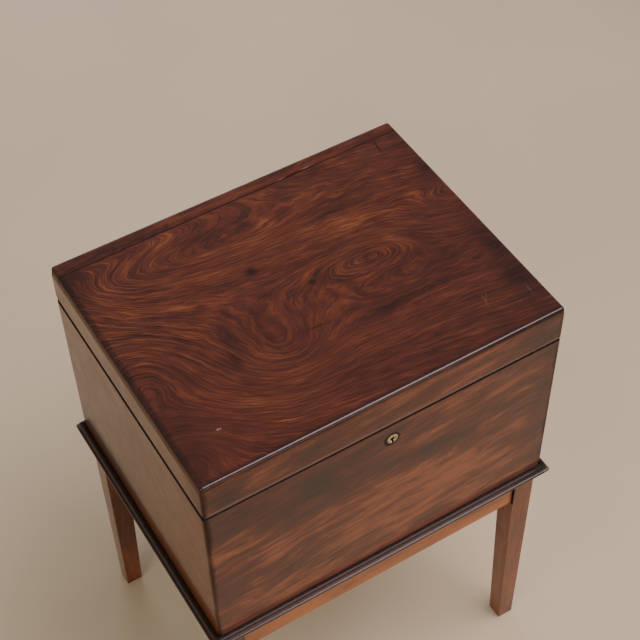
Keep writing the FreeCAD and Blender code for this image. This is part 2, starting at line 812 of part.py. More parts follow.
def make_lock_plate(holes):
    """Back plate and top plate in one, with two stumps that guide the bolt and slots for the links."""
    half = S["plate_wide"] / 2
    inner = INNER_FACE - S["plate_thick"]
    back_plate = slab(
        (LOCK_X - half, inner, CASE_TOP - S["plate_high"]), (LOCK_X + half, INNER_FACE, CASE_TOP)
    )
    selvedge = slab(
        (LOCK_X - half, INNER_FACE - S["selvedge_deep"], CASE_TOP - S["selvedge_thick"]),
        (LOCK_X + half, INNER_FACE, CASE_TOP),
    )
    stump_long = S["cap_deep"] - S["cap_thick"] - S["plate_thick"]
    stumps = [rod((LOCK_X + x, inner - stump_long, STUMP_Z), "y", STUMP_R, stump_long) for x in STUMPS]
    slot_x, slot_y = S["link_thick"] / 2 + 0.5, S["link_deep"] / 2 + 0.6
    slots = [
        slab(
            (LOCK_X + x - slot_x, BOLT_MIDDLE - slot_y, CASE_TOP - S["selvedge_thick"]),
            (LOCK_X + x + slot_x, BOLT_MIDDLE + slot_y, CASE_TOP),
        )
        for x in (-S["link_x"], S["link_x"])
    ]
    node("lock_plate", cut(fuse([back_plate, selvedge, *stumps]), [group(slots), holes]))


def make_lock_cap():
    """The tray that covers the works on the side towards the keyhole."""
    half = S["cap_wide"] / 2
    outer = INNER_FACE - S["cap_deep"]
    top = CASE_TOP - S["selvedge_thick"]
    foot = top - S["cap_high"]
    back = INNER_FACE - S["plate_thick"]
    thick = S["cap_thick"]
    tray = slab((LOCK_X - half, outer, foot), (LOCK_X + half, back, top))
    side = half - thick
    hollow = slab((LOCK_X - side, outer + thick, foot + thick), (LOCK_X + side, back, top))
    hole = keyhole(outer, outer + thick, S["keyhole_r"] + 0.2, S["keyhole_slot"], S["keyhole_long"] - 0.3)
    node("lock_cap", cut(tray, [hollow, hole]))


def make_lock_bolt():
    """A bar with two hooks that slide through the links, and the bowed spring on its end."""
    thick = S["bolt_thick"]
    front, back = BOLT_MIDDLE - thick / 2, BOLT_MIDDLE + thick / 2
    travel = S["bolt_travel"]
    arm_wide, hook_long, hook_high, arm_over = 4.0, 6.0, 3.6, 1.2
    hook_foot = BAR_TOP + 3.6
    tail_end = 18.5
    short_of_link = 3.0
    body = new_body("lock_bolt")

    def hook(x):
        """An arm up from the bar at x with a hook to the right."""
        low_x = LOCK_X + x
        high_x = low_x + arm_wide
        hook_top = hook_foot + hook_high
        return (
            (low_x, BAR_TOP),
            (low_x, hook_top + arm_over),
            (high_x, hook_top + arm_over),
            (high_x, hook_top),
            (high_x + hook_long, hook_top),
            (high_x + hook_long, hook_foot),
            (high_x, hook_foot),
            (high_x, BAR_TOP),
        )

    to_arm = S["link_thick"] / 2 + short_of_link + hook_long + arm_wide
    left, right = -S["link_x"] - to_arm, S["link_x"] - to_arm
    talon_left, talon_right, talon_high = LOCK_X - 6.5, LOCK_X - 1.5, 3.0
    outline = (
        (LOCK_X + left, BAR_FOOT),
        *hook(left),
        *hook(right),
        (LOCK_X + tail_end, BAR_TOP),
        (LOCK_X + tail_end, BAR_FOOT),
        (talon_right, BAR_FOOT),
        (talon_right, BAR_FOOT + talon_high),
        (talon_left, BAR_FOOT + talon_high),
        (talon_left, BAR_FOOT),
    )
    pad(body, new_sketch(body, "XZ_Plane", [outline], -BOLT_MIDDLE), thick, middle=True)
    slot_r = STUMP_R + 0.1
    slots = []
    for x in STUMPS:
        start, end = LOCK_X + x - travel, LOCK_X + x
        rounds = [rod((spot, front, STUMP_Z), "y", slot_r, thick) for spot in (start, end)]
        middle = slab((start, front, STUMP_Z - slot_r), (end, back, STUMP_Z + slot_r))
        slots.append(fuse([*rounds, middle]))
    node("lock_bolt", cut(body, slots))

    spring = new_body("lock_bolt_spring")
    bow, strip, foot_x, bow_x = 5.25, 0.7, 6.0, 16.0
    middle = BAR_TOP + bow
    section = (
        (LOCK_X + foot_x, BAR_TOP),
        (LOCK_X + bow_x, BAR_TOP),
        (LOCK_X + bow_x + bow, middle, bow, 1),
        (LOCK_X + bow_x, middle + bow, bow, 1),
        (LOCK_X + bow_x, middle + bow - strip),
        (LOCK_X + bow_x + bow - strip, middle, bow - strip, -1),
        (LOCK_X + bow_x, BAR_TOP + strip, bow - strip, -1),
        (LOCK_X + foot_x, BAR_TOP + strip),
    )
    pad(spring, new_sketch(spring, "XZ_Plane", [section], -BOLT_MIDDLE), thick, middle=True)
    node("lock_bolt_spring", spring)


def make_link_plate():
    """The plate under the lid's front wall, with two links that drop into the lock."""
    half = S["plate_wide"] / 2
    deep = S["selvedge_deep"]
    top = LID_FOOT + S["link_plate_thick"]
    spots = [(LOCK_X + x, BOLT_MIDDLE, LID_FOOT) for x in (-30, 30)]
    holes = screws("link_screws", spots, UP, BRASS_SCREW)
    plate = slab((LOCK_X - half, INNER_FACE - deep, LID_FOOT), (LOCK_X + half, INNER_FACE, top))
    links = []
    eyes = []
    thick, link_deep = S["link_thick"], S["link_deep"]
    foot = LID_FOOT - S["link_long"]
    for x in (-S["link_x"], S["link_x"]):
        low_x = LOCK_X + x - thick / 2
        high_x = low_x + thick
        front, back = BOLT_MIDDLE - link_deep / 2, BOLT_MIDDLE + link_deep / 2
        links.append(slab((low_x, front, foot), (high_x, back, top)))
        front, back = BOLT_MIDDLE - EYE_DEEP / 2, BOLT_MIDDLE + EYE_DEEP / 2
        eyes.append(slab((low_x, front, EYE_FOOT), (high_x, back, EYE_FOOT + EYE_HIGH)))
    node("lock_link_plate", cut(fuse([plate, *links]), [group(eyes), holes]))
    bed = slab((LOCK_X - half, INNER_FACE - deep, SEAM), (LOCK_X + half, INNER_FACE, top))
    return [bed, holes]


def make_escutcheon():
    """A brass ring round the keyhole with a rounded face, open below where the slot runs out."""
    body = new_body("escutcheon_ring")
    face = -HALF_DEEP
    inner, outer = S["keyhole_r"], S["ring_r"]
    chord = (outer - inner).value
    rise = S["ring_proud"].value
    radius = (chord * chord / 4 + rise * rise) / (2 * rise)
    # The section is drawn beside the keyhole's axis and spun about it.
    sunk = S["ring_sunk"]
    section = ((inner, sunk), (inner, 0), (outer, 0, radius, 1), (outer, sunk))
    sketch = new_sketch(body, "XY_Plane", [section])
    spin = body.newObject("PartDesign::Revolution", "Spin")
    spin.Profile = sketch
    spin.ReferenceAxis = (sketch, ["V_Axis"])
    spin.Angle = 360.0
    at(body, (LOCK_X, face, KEY_Z))
    half_slot, past = S["keyhole_slot"] / 2, 1.0
    slot = slab(
        (LOCK_X - half_slot, face - S["ring_proud"] - past, KEY_Z - outer - past),
        (LOCK_X + half_slot, face + sunk, KEY_Z),
    )
    node("keyhole_escutcheon", cut(body, [slot]))
    return rod((LOCK_X, face, KEY_Z), "y", outer, sunk)


def make_lock():
    """The whole lock; returns what is cut out of the front wall and out of the lid's front wall."""
    inner = INNER_FACE - S["plate_thick"]
    spots = [(LOCK_X + x, INNER_FACE, CASE_TOP - drop) for x in (-34.6, 34.6) for drop in (12, 31)]
    holes = screws("lock_screws", spots, TO_FRONT, LOCK_SCREW, sunk=0.1)
    make_lock_plate(holes)
    make_lock_cap()
    make_lock_bolt()
    pin_long = S["wall_thick"] - S["plate_thick"] - 1.5
    node("lock_key_pin", rod((LOCK_X, inner - pin_long, KEY_Z), "y", S["key_pin_r"], pin_long))
    half_plate, half_cap = S["plate_wide"] / 2, S["cap_wide"] / 2
    foot_of_cap = CASE_TOP - S["selvedge_thick"] - S["cap_high"]
    beds = [
        slab(
            (LOCK_X - half_plate, inner, CASE_TOP - S["plate_high"]),
            (LOCK_X + half_plate, INNER_FACE, CASE_TOP),
        ),
        slab(
            (LOCK_X - half_plate, INNER_FACE - S["selvedge_deep"], CASE_TOP - S["selvedge_thick"]),
            (LOCK_X + half_plate, INNER_FACE, CASE_TOP),
        ),
        slab(
            (LOCK_X - half_cap, INNER_FACE - S["cap_deep"], foot_of_cap),
            (LOCK_X + half_cap, INNER_FACE, CASE_TOP),
        ),
        keyhole(-HALF_DEEP, INNER_FACE, S["keyhole_r"], S["keyhole_slot"], S["keyhole_long"]),
        make_escutcheon(),
        holes,
    ]
    return beds, make_link_plate()


def make_case(envelope, hinge_beds, lock_beds):
    """The box's walls, finished, with its bottom and partitions."""
    housings = make_partitions()
    bottom_beds = make_bottom()
    walls = make_walls(LEDGE_TOP, S["case_high"], 5)
    for side, name in enumerate(SIDES):
        wall = cut(common(walls[side], envelope), [group(housings[side]), *bottom_beds])
        if name == "front":
            wall = cut(wall, lock_beds)
        if name == "back":
            wall = cut(wall, hinge_beds)
        node("case_" + name, wall)


def make_lid_top(envelope):
    """The top board and the narrow strip behind it, tongued together with an open joint."""
    joint_left = HALF_DEEP - S["strip_deep"]
    joint_right = joint_left + S["strip_taper"]
    crack = S["strip_crack"]
    tongue_foot = TOP_FOOT + (S["top_thick"] - S["tongue_thick"]) / 2

    board = new_body("top_blank")
    left, right, front = -HALF_WIDE, HALF_WIDE, -HALF_DEEP
    plan = ((left, front), (right, front), (right, joint_right), (left, joint_left))
    pad(board, new_sketch(board, "XY_Plane", [plan], TOP_FOOT), S["top_thick"])
    tongue_in = 10.0
    end = HALF_WIDE - S["strip_short"] - tongue_in
    near_edge = ((-end, joint_left), (end, joint_left))
    tongue = (*near_edge, (end, joint_right + S["tongue_long"]), (-end, joint_left + S["tongue_long"]))
    pad(board, new_sketch(board, "XY_Plane", [tongue], tongue_foot), S["tongue_thick"])
    node("lid_top_board", common(board, envelope))

    strip = new_body("strip_blank")
    right = HALF_WIDE - S["strip_short"]
    plan = ((left, joint_left + crack), (right, joint_right + crack), (right, HALF_DEEP), (left, HALF_DEEP))
    pad(strip, new_sketch(strip, "XY_Plane", [plan], TOP_FOOT), S["top_thick"])
    room = crack + S["tongue_long"]
    groove = ((-end, joint_left), (end, joint_left), (end, joint_right + room), (-end, joint_left + room))
    top_of_groove = tongue_foot + S["tongue_thick"]
    pocket(strip, new_sketch(strip, "XY_Plane", [groove], top_of_groove), S["tongue_thick"])
    node("lid_top_strip", common(strip, envelope))


def make_lid(envelope, hinge_beds, lock_beds):
    """The lid's walls and top. The rim is worn away a little towards the front right corner."""
    make_lid_top(envelope)
    walls = make_walls(LID_FOOT, S["lid_wall"], 1)
    thick, worn = S["wall_thick"], LID_FOOT + S["seam_open"]
    for side, name in enumerate(SIDES):
        wall = common(walls[side], envelope)
        reach, half = side_reach(side)
        if name in ("front", "right"):
            # The wedge is drawn tapering along the wall, then turned to lie under it.
            run = wedge(
                (0, 0),
                (thick, thick),
                0,
                2 * half,
                (SEAM, SEAM),
                (LID_FOOT, worn) if name == "front" else (worn, LID_FOOT),
            )
            turn = -90 if name == "front" else 0
            run.Placement = Placement(Vector(0, 0, 0), Rotation(Vector(0, 0, 1), turn))
            corner = (-half, -reach + thick, 0) if name == "front" else (reach - thick, -half, 0)
            wall = cut(wall, [at(run, corner)])
        if name == "front":
            wall = cut(wall, lock_beds)
        if name == "back":
            wall = cut(wall, hinge_beds)
        node("lid_" + name, wall)


def check_and_write():
    """Stops at anything that failed to build, then writes one STEP file for each node."""
    doc.recompute()
    for thing in doc.Objects:
        if "Invalid" in thing.State or "Error" in thing.State:
            raise RuntimeError(f"{thing.Label} failed: {thing.State}")
    for name, thing in nodes.items():
        shape = thing.Shape
        if shape.isNull() or not shape.isValid() or not shape.Solids:
            raise RuntimeError(f"{name} has no valid solid")
        if len(shape.Solids) > 1 and not name.endswith("_screws") and "_screws_" not in name:
            raise RuntimeError(f"{name} is in {len(shape.Solids)} pieces")
        shape.exportStep(os.path.join("parts", name + ".step"))
    print(len(nodes), "nodes written")


def main():
    envelope = rounded_envelope()
    make_stand()
    hinge_beds = make_hinges()
    lock_beds, link_beds = make_lock()
    make_case(envelope, hinge_beds["case"], lock_beds)
    make_lid(envelope, hinge_beds["lid"], link_beds)
    check_and_write()


main()
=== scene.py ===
import bmesh
import bpy
import json
import math
from bpy.props import FloatProperty, FloatVectorProperty, PointerProperty
from mathutils import Matrix, Vector

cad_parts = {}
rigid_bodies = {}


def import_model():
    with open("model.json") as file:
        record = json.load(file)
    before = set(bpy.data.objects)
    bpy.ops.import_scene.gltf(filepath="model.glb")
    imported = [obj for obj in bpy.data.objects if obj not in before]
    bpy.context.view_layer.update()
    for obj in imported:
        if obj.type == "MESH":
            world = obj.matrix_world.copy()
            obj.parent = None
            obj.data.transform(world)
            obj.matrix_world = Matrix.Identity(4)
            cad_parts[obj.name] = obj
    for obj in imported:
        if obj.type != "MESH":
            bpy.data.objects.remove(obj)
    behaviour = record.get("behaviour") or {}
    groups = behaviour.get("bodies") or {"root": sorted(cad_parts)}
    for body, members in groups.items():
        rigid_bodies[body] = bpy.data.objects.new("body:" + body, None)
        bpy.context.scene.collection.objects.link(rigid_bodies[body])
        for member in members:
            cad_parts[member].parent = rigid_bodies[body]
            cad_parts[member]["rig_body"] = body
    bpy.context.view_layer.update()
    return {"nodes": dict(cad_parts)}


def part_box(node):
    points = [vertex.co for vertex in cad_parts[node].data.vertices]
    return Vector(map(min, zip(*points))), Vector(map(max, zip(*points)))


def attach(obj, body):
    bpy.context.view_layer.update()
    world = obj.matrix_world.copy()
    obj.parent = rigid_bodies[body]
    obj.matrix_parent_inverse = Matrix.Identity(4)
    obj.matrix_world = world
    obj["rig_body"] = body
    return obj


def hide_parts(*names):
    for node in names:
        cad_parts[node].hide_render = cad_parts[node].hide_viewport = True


bl_info = {
    "name": "Cellarette on a stand",
    "version": (1, 0, 0),
    "blender": (4, 5, 0),
    "location": "View3D > Sidebar > Cellarette",
    "description": "Finishes a mahogany cellarette: polished wood, worn arrises and old brass",
    "category": "Add Mesh",
}

# Metres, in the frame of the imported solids: +X runs along the front to the right, +Y to the back and
# +Z up, with the origin on the floor between the legs.

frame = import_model()
NODES = frame["nodes"]
BOX_LOW, BOX_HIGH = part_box("case_front")[0].copy(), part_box("case_back")[1].copy()
LID_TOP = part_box("lid_top_board")[1].z
TOP_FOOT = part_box("lid_front")[1].z
SEAM = (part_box("case_left")[1].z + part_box("lid_left")[0].z) / 2
KEYHOLE = sum(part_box("lock_key_pin"), Vector()) / 2
LEG_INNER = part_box("leg_rear_right")[0].copy()
RAIL_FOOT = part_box("rail_front")[0].z
RIM_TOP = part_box("moulding_front")[1].z
RIM_REACH = Vector((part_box("moulding_front")[1].x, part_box("moulding_back")[1].y))
MM = 0.001
# The lowest part of the moulding's cove, and the radius of the upright corners of box and lid.
COVE_FOOT = RIM_TOP - 1.5 * MM
BOX_CORNER = 4.0 * MM
# Where the joint between the lid's board and its strip runs, at its left and right ends: the strip's
# foremost points within 6 mm of each side.
STRIP = [vert.co for vert in NODES["lid_top_strip"].data.vertices]
JOINT_LEFT, JOINT_RIGHT = (
    min(spot.y for spot in STRIP if spot.x * hand > BOX_HIGH.x - 6.0 * MM) for hand in (-1, 1)
)
# Depths from the outside of the box within which a point is on an outer face or in the worn edges of
# the seam, and beyond which it is on the inner face of a wall.
FACE_DEPTH, EDGE_DEPTH, INNER_DEPTH = 1.0 * MM, 4.9 * MM, 13.8 * MM
# Points closer than this are one, and points closer to a plane than this lie in it.
WELD, IN_PLANE = 0.002 * MM, 0.02 * MM
# Two faces are one if they turn by less than the first of these angles, are smooth under the second,
# and meet in an arris over the third.
FLAT_TURN, SMOOTH_TURN, ARRIS_TURN = (math.radians(degrees) for degrees in (0.4, 30.0, 35.0))


def linear(code):
    """A linear colour from an sRGB hex code."""
    parts = [int(code[i : i + 2], 16) / 255 for i in (0, 2, 4)]
    return tuple(p / 12.92 if p <= 0.04045 else ((p + 0.055) / 1.055) ** 2.4 for p in parts)


def colour_setting(name, code, description):
    default = linear(code)
    return FloatVectorProperty(
        name=name, description=description, default=default, subtype="COLOR", size=3, min=0.0, max=1.0
    )


def length_setting(name, metres, description):
    return FloatProperty(
        name=name, description=description, default=metres, subtype="DISTANCE", unit="LENGTH", min=0.0
    )


class CellaretteSizes(bpy.types.PropertyGroup):
    """Sizes that a user would change."""

    wood_arris: length_setting("Wood arris", 0.0006, "Rounding that wear has given the edges of the wood")
    seam_front: length_setting("Seam, front", 0.0013, "Rounding of the box's upper edge at front and back")
    seam_side: length_setting("Seam, sides", 0.0045, "Rounding of the box's upper edge where hands lift it")
    top_arris: length_setting("Lid's arris", 0.0042, "Rounding that wear has given the lid's upper arris")
    rim_corner: length_setting("Moulding's corners", 0.004, "Rounding of the moulding's worn corners")
    brass_arris: length_setting("Brass arris", 0.0002, "Rounding of the edges of the brass and iron")
    grime_reach: length_setting("Grime", 0.0125, "How far old polish lies round the keyhole, from its middle")
    floor_reach: length_setting("Floor", 4.0, "Half the width of the floor")


class CellaretteColours(bpy.types.PropertyGroup):
    """Colours that a user would change."""

    wood_shadow: colour_setting("Mahogany, darkest", "2B1318", "Darkest clouds of the polished mahogany")
    wood_dark: colour_setting("Mahogany, dark", "421B14", "Dark streaks of the polished mahogany")
    wood_mid: colour_setting("Mahogany, middle", "5A271A", "Body colour of the polished mahogany")
    wood_light: colour_setting("Mahogany, light", "8C4E32", "Light streaks of the polished mahogany")
    top_shadow: colour_setting("Top, darkest", "2B1715", "Knots and shadows of the top board")
    top_dark: colour_setting("Top, dark", "3C2019", "Dark figure of the top board")
    top_mid: colour_setting("Top, middle", "4D271E", "Body colour of the top board")
    top_light: colour_setting("Top, light", "653523", "Light bands of the top board")
    top_streak: colour_setting("Top, streaks", "814E2D", "Brightest fine lines of the top board")
    rim_dark: colour_setting("Moulding, dark", "1C1110", "Old polish in the moulding")
    # The side mouldings are drawn lighter than the front one.
    rim_side_tone: colour_setting("Moulding, sides", "33261F", "Old polish of the side mouldings, lighter than at the front")
    rim_mid: colour_setting("Moulding, middle", "3C231E", "Body colour of the moulding")
    side_dark: colour_setting("Sides, dark", "4A1F0B", "Dark streaks of the box's sides")
    side_light: colour_setting("Sides, light", "703A17", "Light streaks of the box's sides")
    rail_dark: colour_setting("Rails, dark", "7D4933", "Dark streaks of the rails")
    rail_light: colour_setting("Rails, light", "B86E3E", "Light streaks of the rails")
    leg_dark: colour_setting("Legs, dark", "4E2619", "Dark streaks of the legs")
    leg_light: colour_setting("Legs, light", "864729", "Light streaks of the legs")
    inside_mid: colour_setting("Inside, middle", "6E4530", "Unpolished mahogany inside the box")
    deal_mid: colour_setting("Deal, middle", "A8835A", "Pine of the bottom board and glue blocks")
    brass: colour_setting("Brass", "DAD0B2", "Old brass where hands keep it clean")
    brass_dull: colour_setting("Brass, dull", "8E8159", "Brown tarnish in the brass")
    iron: colour_setting("Iron", "3C3835", "Iron of the lock and the hidden screws")
    steel: colour_setting("Steel", "77726C", "Spring steel in the lock")
    oxide: colour_setting("Oxide", "4A3226", "Brown oxide on the iron and steel")
    # Also the colour of the painted glints in the opened joint.
    wax: colour_setting("Wax and glints", "B39A86", "Specks of wax, and painted glints in the open joint")
    # Also the colour of the painted highlight on the moulding's corners.
    pale_grey_and_highlight: colour_setting("Pale grey and highlight", "7E6662", "Pale grey along the lid's lower edge, and painted highlight on the moulding's corners")
    # Also used as painted shade: in the seam's gap, over the moulding, low on the sides, in the opened joint
    # and beside the legs' heads.
    grime: colour_setting("Grime", "1A0E09", "Old polish and dirt round the keyhole, and painted shade in the seam and angles")
    floor: colour_setting("Floor", "DECCAB", "Plain pale floor")


# Nodes of a material.

SOFT = {"interpolation_type": "SMOOTHSTEP"}
COLOUR = {"data_type": "RGBA", "out": 2}
# Nearly all of a cloudy value lies between these.
USUAL = (0.3, 0.7)


def add(tree, kind, inputs=(), out=0, stops=(), **settings):
    """Adds a node with its settings and links, and returns one output. The inputs are values or other
    outputs, in order or by name, and the stops are the positions and colours of a ramp."""
    made = tree.nodes.new("ShaderNode" + kind)
    for name, value in settings.items():
        setattr(made, name, value)
    for spot, value in inputs.items() if isinstance(inputs, dict) else enumerate(inputs):
        socket = made.inputs[spot]
        if isinstance(value, bpy.types.NodeSocket):
            tree.links.new(value, socket)
        elif socket.type == "RGBA":
            socket.default_value = (*value, 1.0)
        else:
            socket.default_value = value
    for number, (position, colour) in enumerate(stops):
        elements = made.color_ramp.elements
        element = elements[number] if number < len(elements) else elements.new(position)
        element.position = position
        element.color = (*colour, 1.0)
    return made.outputs[out]


def new_material(name):
    """A node material with its shader and output joined, and the object's own coordinates."""
    material = bpy.data.materials.new(name)
    material.use_nodes = True
    tree = material.node_tree
    tree.nodes.clear()
    output = tree.nodes.new("ShaderNodeOutputMaterial")
    shader = tree.nodes.new("ShaderNodeBsdfPrincipled")
    tree.links.new(shader.outputs["BSDF"], output.inputs["Surface"])
    return material, tree, shader, add(tree, "TexCoord", out="Object")


def feed(tree, shader, values):
    """Links outputs to the shader's sockets of the given names."""
    for name, value in values.items():
        tree.links.new(value, shader.inputs[name])


def flattened(tree, place, *axes):
    """A point with only two of its coordinates, to find its place on a face."""
    first, second = (add(tree, "SeparateXYZ", (place,), out=axis) for axis in axes)
    return add(tree, "CombineXYZ", (first, second, 0.0))


def outwards(tree, place):
    """How far a point lies from the middle along x and along y, whichever the side, and its height."""
    across, deep, up = (add(tree, "SeparateXYZ", (place,), out=axis) for axis in range(3))
    out_x = add(tree, "Math", (across,), operation="ABSOLUTE")
    out_y = add(tree, "Math", (deep,), operation="ABSOLUTE")
    return out_x, out_y, up


def grain(tree, place, sizes, detail=2.0, roughness=0.5, shift=0.0):
    """Cloudy variation whose features measure about the given sizes in metres along x, y and z."""
    scaled = add(tree, "Mapping", (place, (shift,) * 3, (0.0,) * 3, [1.0 / size for size in sizes]))
    return add(tree, "TexNoise", {"Vector": scaled, "Scale": 1.0, "Detail": detail, "Roughness": roughness})


def summed(tree, parts, start=0.5):
    """A value that swings about the start: each part is (0 to 1 value, how much it counts)."""
    total = start - sum(share for _, share in parts) / 2
    for value, share in parts:
        total = add(tree, "Math", (value, share, total), operation="MULTIPLY_ADD")
    return total


def bells(tree, flat, spots, start):
    """The start value with a smooth rise or dip at each spot: (x, y, two radii, amount) and a turn if it
    has one, in millimetres and degrees."""
    total = start
    for x, y, along, across, amount, *turn in spots:
        middle = (x * MM, y * MM, 0.0)
        radii = (along * MM, across * MM, 1.0)
        turned = (0.0, 0.0, math.radians(sum(turn)))
        near = add(tree, "Mapping", (flat, middle, turned, radii), vector_type="TEXTURE")
        square = add(tree, "VectorMath", (near, near), out="Value", operation="DOT_PRODUCT")
        bell = add(tree, "Math", (math.exp(-1.0), square), operation="POWER")
        total = add(tree, "Math", (bell, amount, total), operation="MULTIPLY_ADD")
    return total


def bumped(tree, shader, layers):
    """Bumps laid one over another; each layer is (height, depth in metres)."""
    normal = None
    for height, depth in layers:
        inputs = {"Height": height, "Distance": depth, "Strength": 1.0}
        if normal is not None:
            inputs["Normal"] = normal
        normal = add(tree, "Bump", inputs)
    feed(tree, shader, {"Normal": normal})


def polished(shader, gloss, coat):
    """Shellac over wood: the wood's own sheen, and a thin clear coat with sharper reflections."""
    shader.inputs["IOR"].default_value = 1.5
    shader.inputs["Specular IOR Level"].default_value = 0.08
    shader.inputs["Coat Weight"].default_value = coat
    shader.inputs["Coat Roughness"].default_value = gloss
    shader.inputs["Coat IOR"].default_value = 1.5


def planed(tree, shader, place, rough, relief, shift=0.0):
    """Roughness smeared between two values, and the shallow waves that a hand plane leaves under a
    finer relief."""
    smear = grain(tree, place, (0.05, 0.03, 0.03), 3.0, 0.6, shift + 2.2)
    feed(tree, shader, {"Roughness": add(tree, "MapRange", (smear, *USUAL, *rough))})
    waves = grain(tree, place, (0.09, 0.05, 0.05), 1.0, 0.5, shift + 4.4)
    bumped(tree, shader, ((waves, 0.5 * MM), *relief))


def two_toned(tree, shader, value, low, high, rough):
    """Colour and roughness that both follow one cloudy value. Low and high are (value, colour)."""
    colour = add(tree, "ValToRGB", (value,), stops=(low, high))
    dullness = add(tree, "MapRange", (value, *USUAL, *rough))
    feed(tree, shader, {"Base Color": colour, "Roughness": dullness})


# Mahogany. Straight wood is drawn along its own X, and turned to run along the piece.

GRAIN_TURNS = {
    "x": (0.0, 0.0, 0.0),
    "y": (0.0, 0.0, math.radians(90)),
    "z": (0.0, math.radians(-90), 0.0),
}


def shades(dark, light):
    """Four tones, from the dark to the light one."""
    return [tuple(d + (l - d) * step / 3 for d, l in zip(dark, light)) for step in range(4)]


def straight_wood(
    name, along, tones, shift=0.0, tilt=0.0, rough=0.36, coat=0.7, contrast=1.0, clouds=(), covers=()
):
    """Plain-sawn wood: broad bands, ribbon stripe and pores, all drawn out along the grain. The covers are
    what lies over the wood, painted shade and highlight among them, each as (how much of it, its colour)."""
    material, tree, shader, place = new_material(name)
    turned = add(tree, "Mapping", {"Vector": place, "Rotation": GRAIN_TURNS[along]}, vector_type="TEXTURE")
    lean = {"Vector": turned, "Rotation": (0.0, math.radians(tilt), 0.0)}
    leaning = add(tree, "Mapping", lean, vector_type="TEXTURE")
    # The grain wanders by some 10 mm over the length of a hand.
    wander = grain(tree, leaning, (0.20, 0.07, 0.07), 2.0, 0.5, shift)
    aside = add(tree, "MapRange", (wander, 0.0, 1.0, -0.03, 0.03))
    shift_aside = add(tree, "CombineXYZ", (0.0, aside, aside))
    warped = add(tree, "VectorMath", (leaning, shift_aside), operation="ADD")
    broad = grain(tree, warped, (0.22, 0.020, 0.020), 3.0, 0.55, shift + 3.1)
    ribbon = grain(tree, warped, (0.09, 0.0065, 0.0065), 3.0, 0.6, shift + 7.7)
    fine = grain(tree, warped, (0.035, 0.0022, 0.0022), 2.0, 0.6, shift + 1.3)
    cloud = grain(tree, leaning, (0.08, 0.035, 0.035), 3.0, 0.5, shift + 5.9)
    # Pores: open vessels of about 0.3 by 6 mm, drawn twice as wide so that they show.
    pores = grain(tree, warped, (0.010, 0.0007, 0.0007), 1.0, 0.5, shift + 9.2)
    open_pores = add(tree, "MapRange", (pores, 0.58, 0.72), **SOFT)
    shares = ((broad, 0.9), (ribbon, 0.6), (fine, 0.5), (cloud, 0.8), (open_pores, -0.12))
    tone = summed(tree, [(value, share * contrast) for value, share in shares])
    if clouds:
        tone = bells(tree, flattened(tree, place, 1 if along == "y" else 0, 2), clouds, tone)
    stops = tuple(zip((0.12, 0.36, 0.58, 0.86), tones))
    colour = add(tree, "ValToRGB", (tone,), stops=stops)
    polished(shader, 0.1 if coat else 0.5, coat)
    shine = coat
    for cover, tint in covers:
        share = cover(tree, place)
        colour = add(tree, "Mix", {0: share, 6: colour, 7: tint}, **COLOUR)
        # What lies over the polish is matt.
        clean = add(tree, "Math", (1.0, share), operation="SUBTRACT")
        shine = add(tree, "Math", (shine, clean), operation="MULTIPLY")
    feed(tree, shader, {"Base Color": colour})
    if covers:
        feed(tree, shader, {"Coat Weight": shine})
    relief = ((ribbon, 0.04 * MM), (open_pores, -0.04 * MM))
    planed(tree, shader, place, (rough - 0.06, rough + 0.08), relief, shift)
    return material


# Covers: how much dirt, dust, wear, painted shade or painted highlight lies over the wood at each place, from
# 0 to 1.


def keyhole_grime(tree, place):
    """Old polish and dirt round the escutcheon, which stands a little left of and over the key pin."""
    reach = bpy.context.scene.cellarette_sizes.grime_reach
    escutcheon = 8.8 * MM
    middle = (KEYHOLE.x - 0.9 * MM, BOX_LOW.y, KEYHOLE.z + 0.2 * MM)
    about = {"Vector": place, "Location": middle, "Scale": (1.0, 4.0, 1.0)}
    near = add(tree, "Mapping", about, vector_type="TEXTURE")
    far = add(tree, "VectorMath", (near,), out="Value", operation="LENGTH")
    ragged = summed(tree, ((grain(tree, place, (0.004,) * 3, 3.0), 5.0 * MM),), 0.0)
    far = add(tree, "Math", (far, ragged), operation="ADD")
    return add(tree, "MapRange", (far, reach, escutcheon, 0.0, 0.85), **SOFT)


def edge_dirt_and_shade(tree, place):
    """Darkening along the seam, at the upright corners, in the angle over the moulding and towards the lid's
    top: dark old polish, with painted shade in the seam's gap and in the angle.
    """
    out_x, out_y, up = outwards(tree, place)
    from_side = add(tree, "Math", (BOX_HIGH.x, out_x), operation="SUBTRACT")
    from_face = add(tree, "Math", (BOX_HIGH.y, out_y), operation="SUBTRACT")
    # On a front or back face this is the distance to the upright corner, and on a side the other way.
    from_corner = add(tree, "Math", (from_side, from_face), operation="MAXIMUM")
    ragged = summed(tree, ((grain(tree, place, (0.02, 0.02, 0.05), 3.0), 12.0 * MM),), 0.0)
    from_corner = add(tree, "Math", (from_corner, ragged), operation="ADD")
    corner = add(tree, "MapRange", (from_corner, 7.0 * MM, 0.0, 0.0, 0.75), **SOFT)
    height = add(tree, "Math", (up, ragged), operation="ADD")
    # Painted shade, with some dirt, in the angle over the moulding.
    low = add(tree, "MapRange", (height, RIM_TOP - 2.0 * MM, RIM_TOP - 13.0 * MM, 0.0, 0.85), **SOFT)
    # Darker towards the lid's top.
    high = add(tree, "MapRange", (up, LID_TOP - 10.0 * MM, LID_TOP, 0.0, 0.75), **SOFT)
    # Painted shade of the seam's gap, with dark old polish along it.
    over_seam = add(tree, "Math", (up, SEAM), operation="SUBTRACT")
    from_seam = add(tree, "Math", (over_seam,), operation="ABSOLUTE")
    seam = add(tree, "MapRange", (from_seam, 2.4 * MM, 1.2 * MM, 0.0, 0.95), **SOFT)
    most = add(tree, "Math", (corner, low), operation="MAXIMUM")
    most = add(tree, "Math", (most, high), operation="MAXIMUM")
    return add(tree, "Math", (most, seam), operation="MAXIMUM")


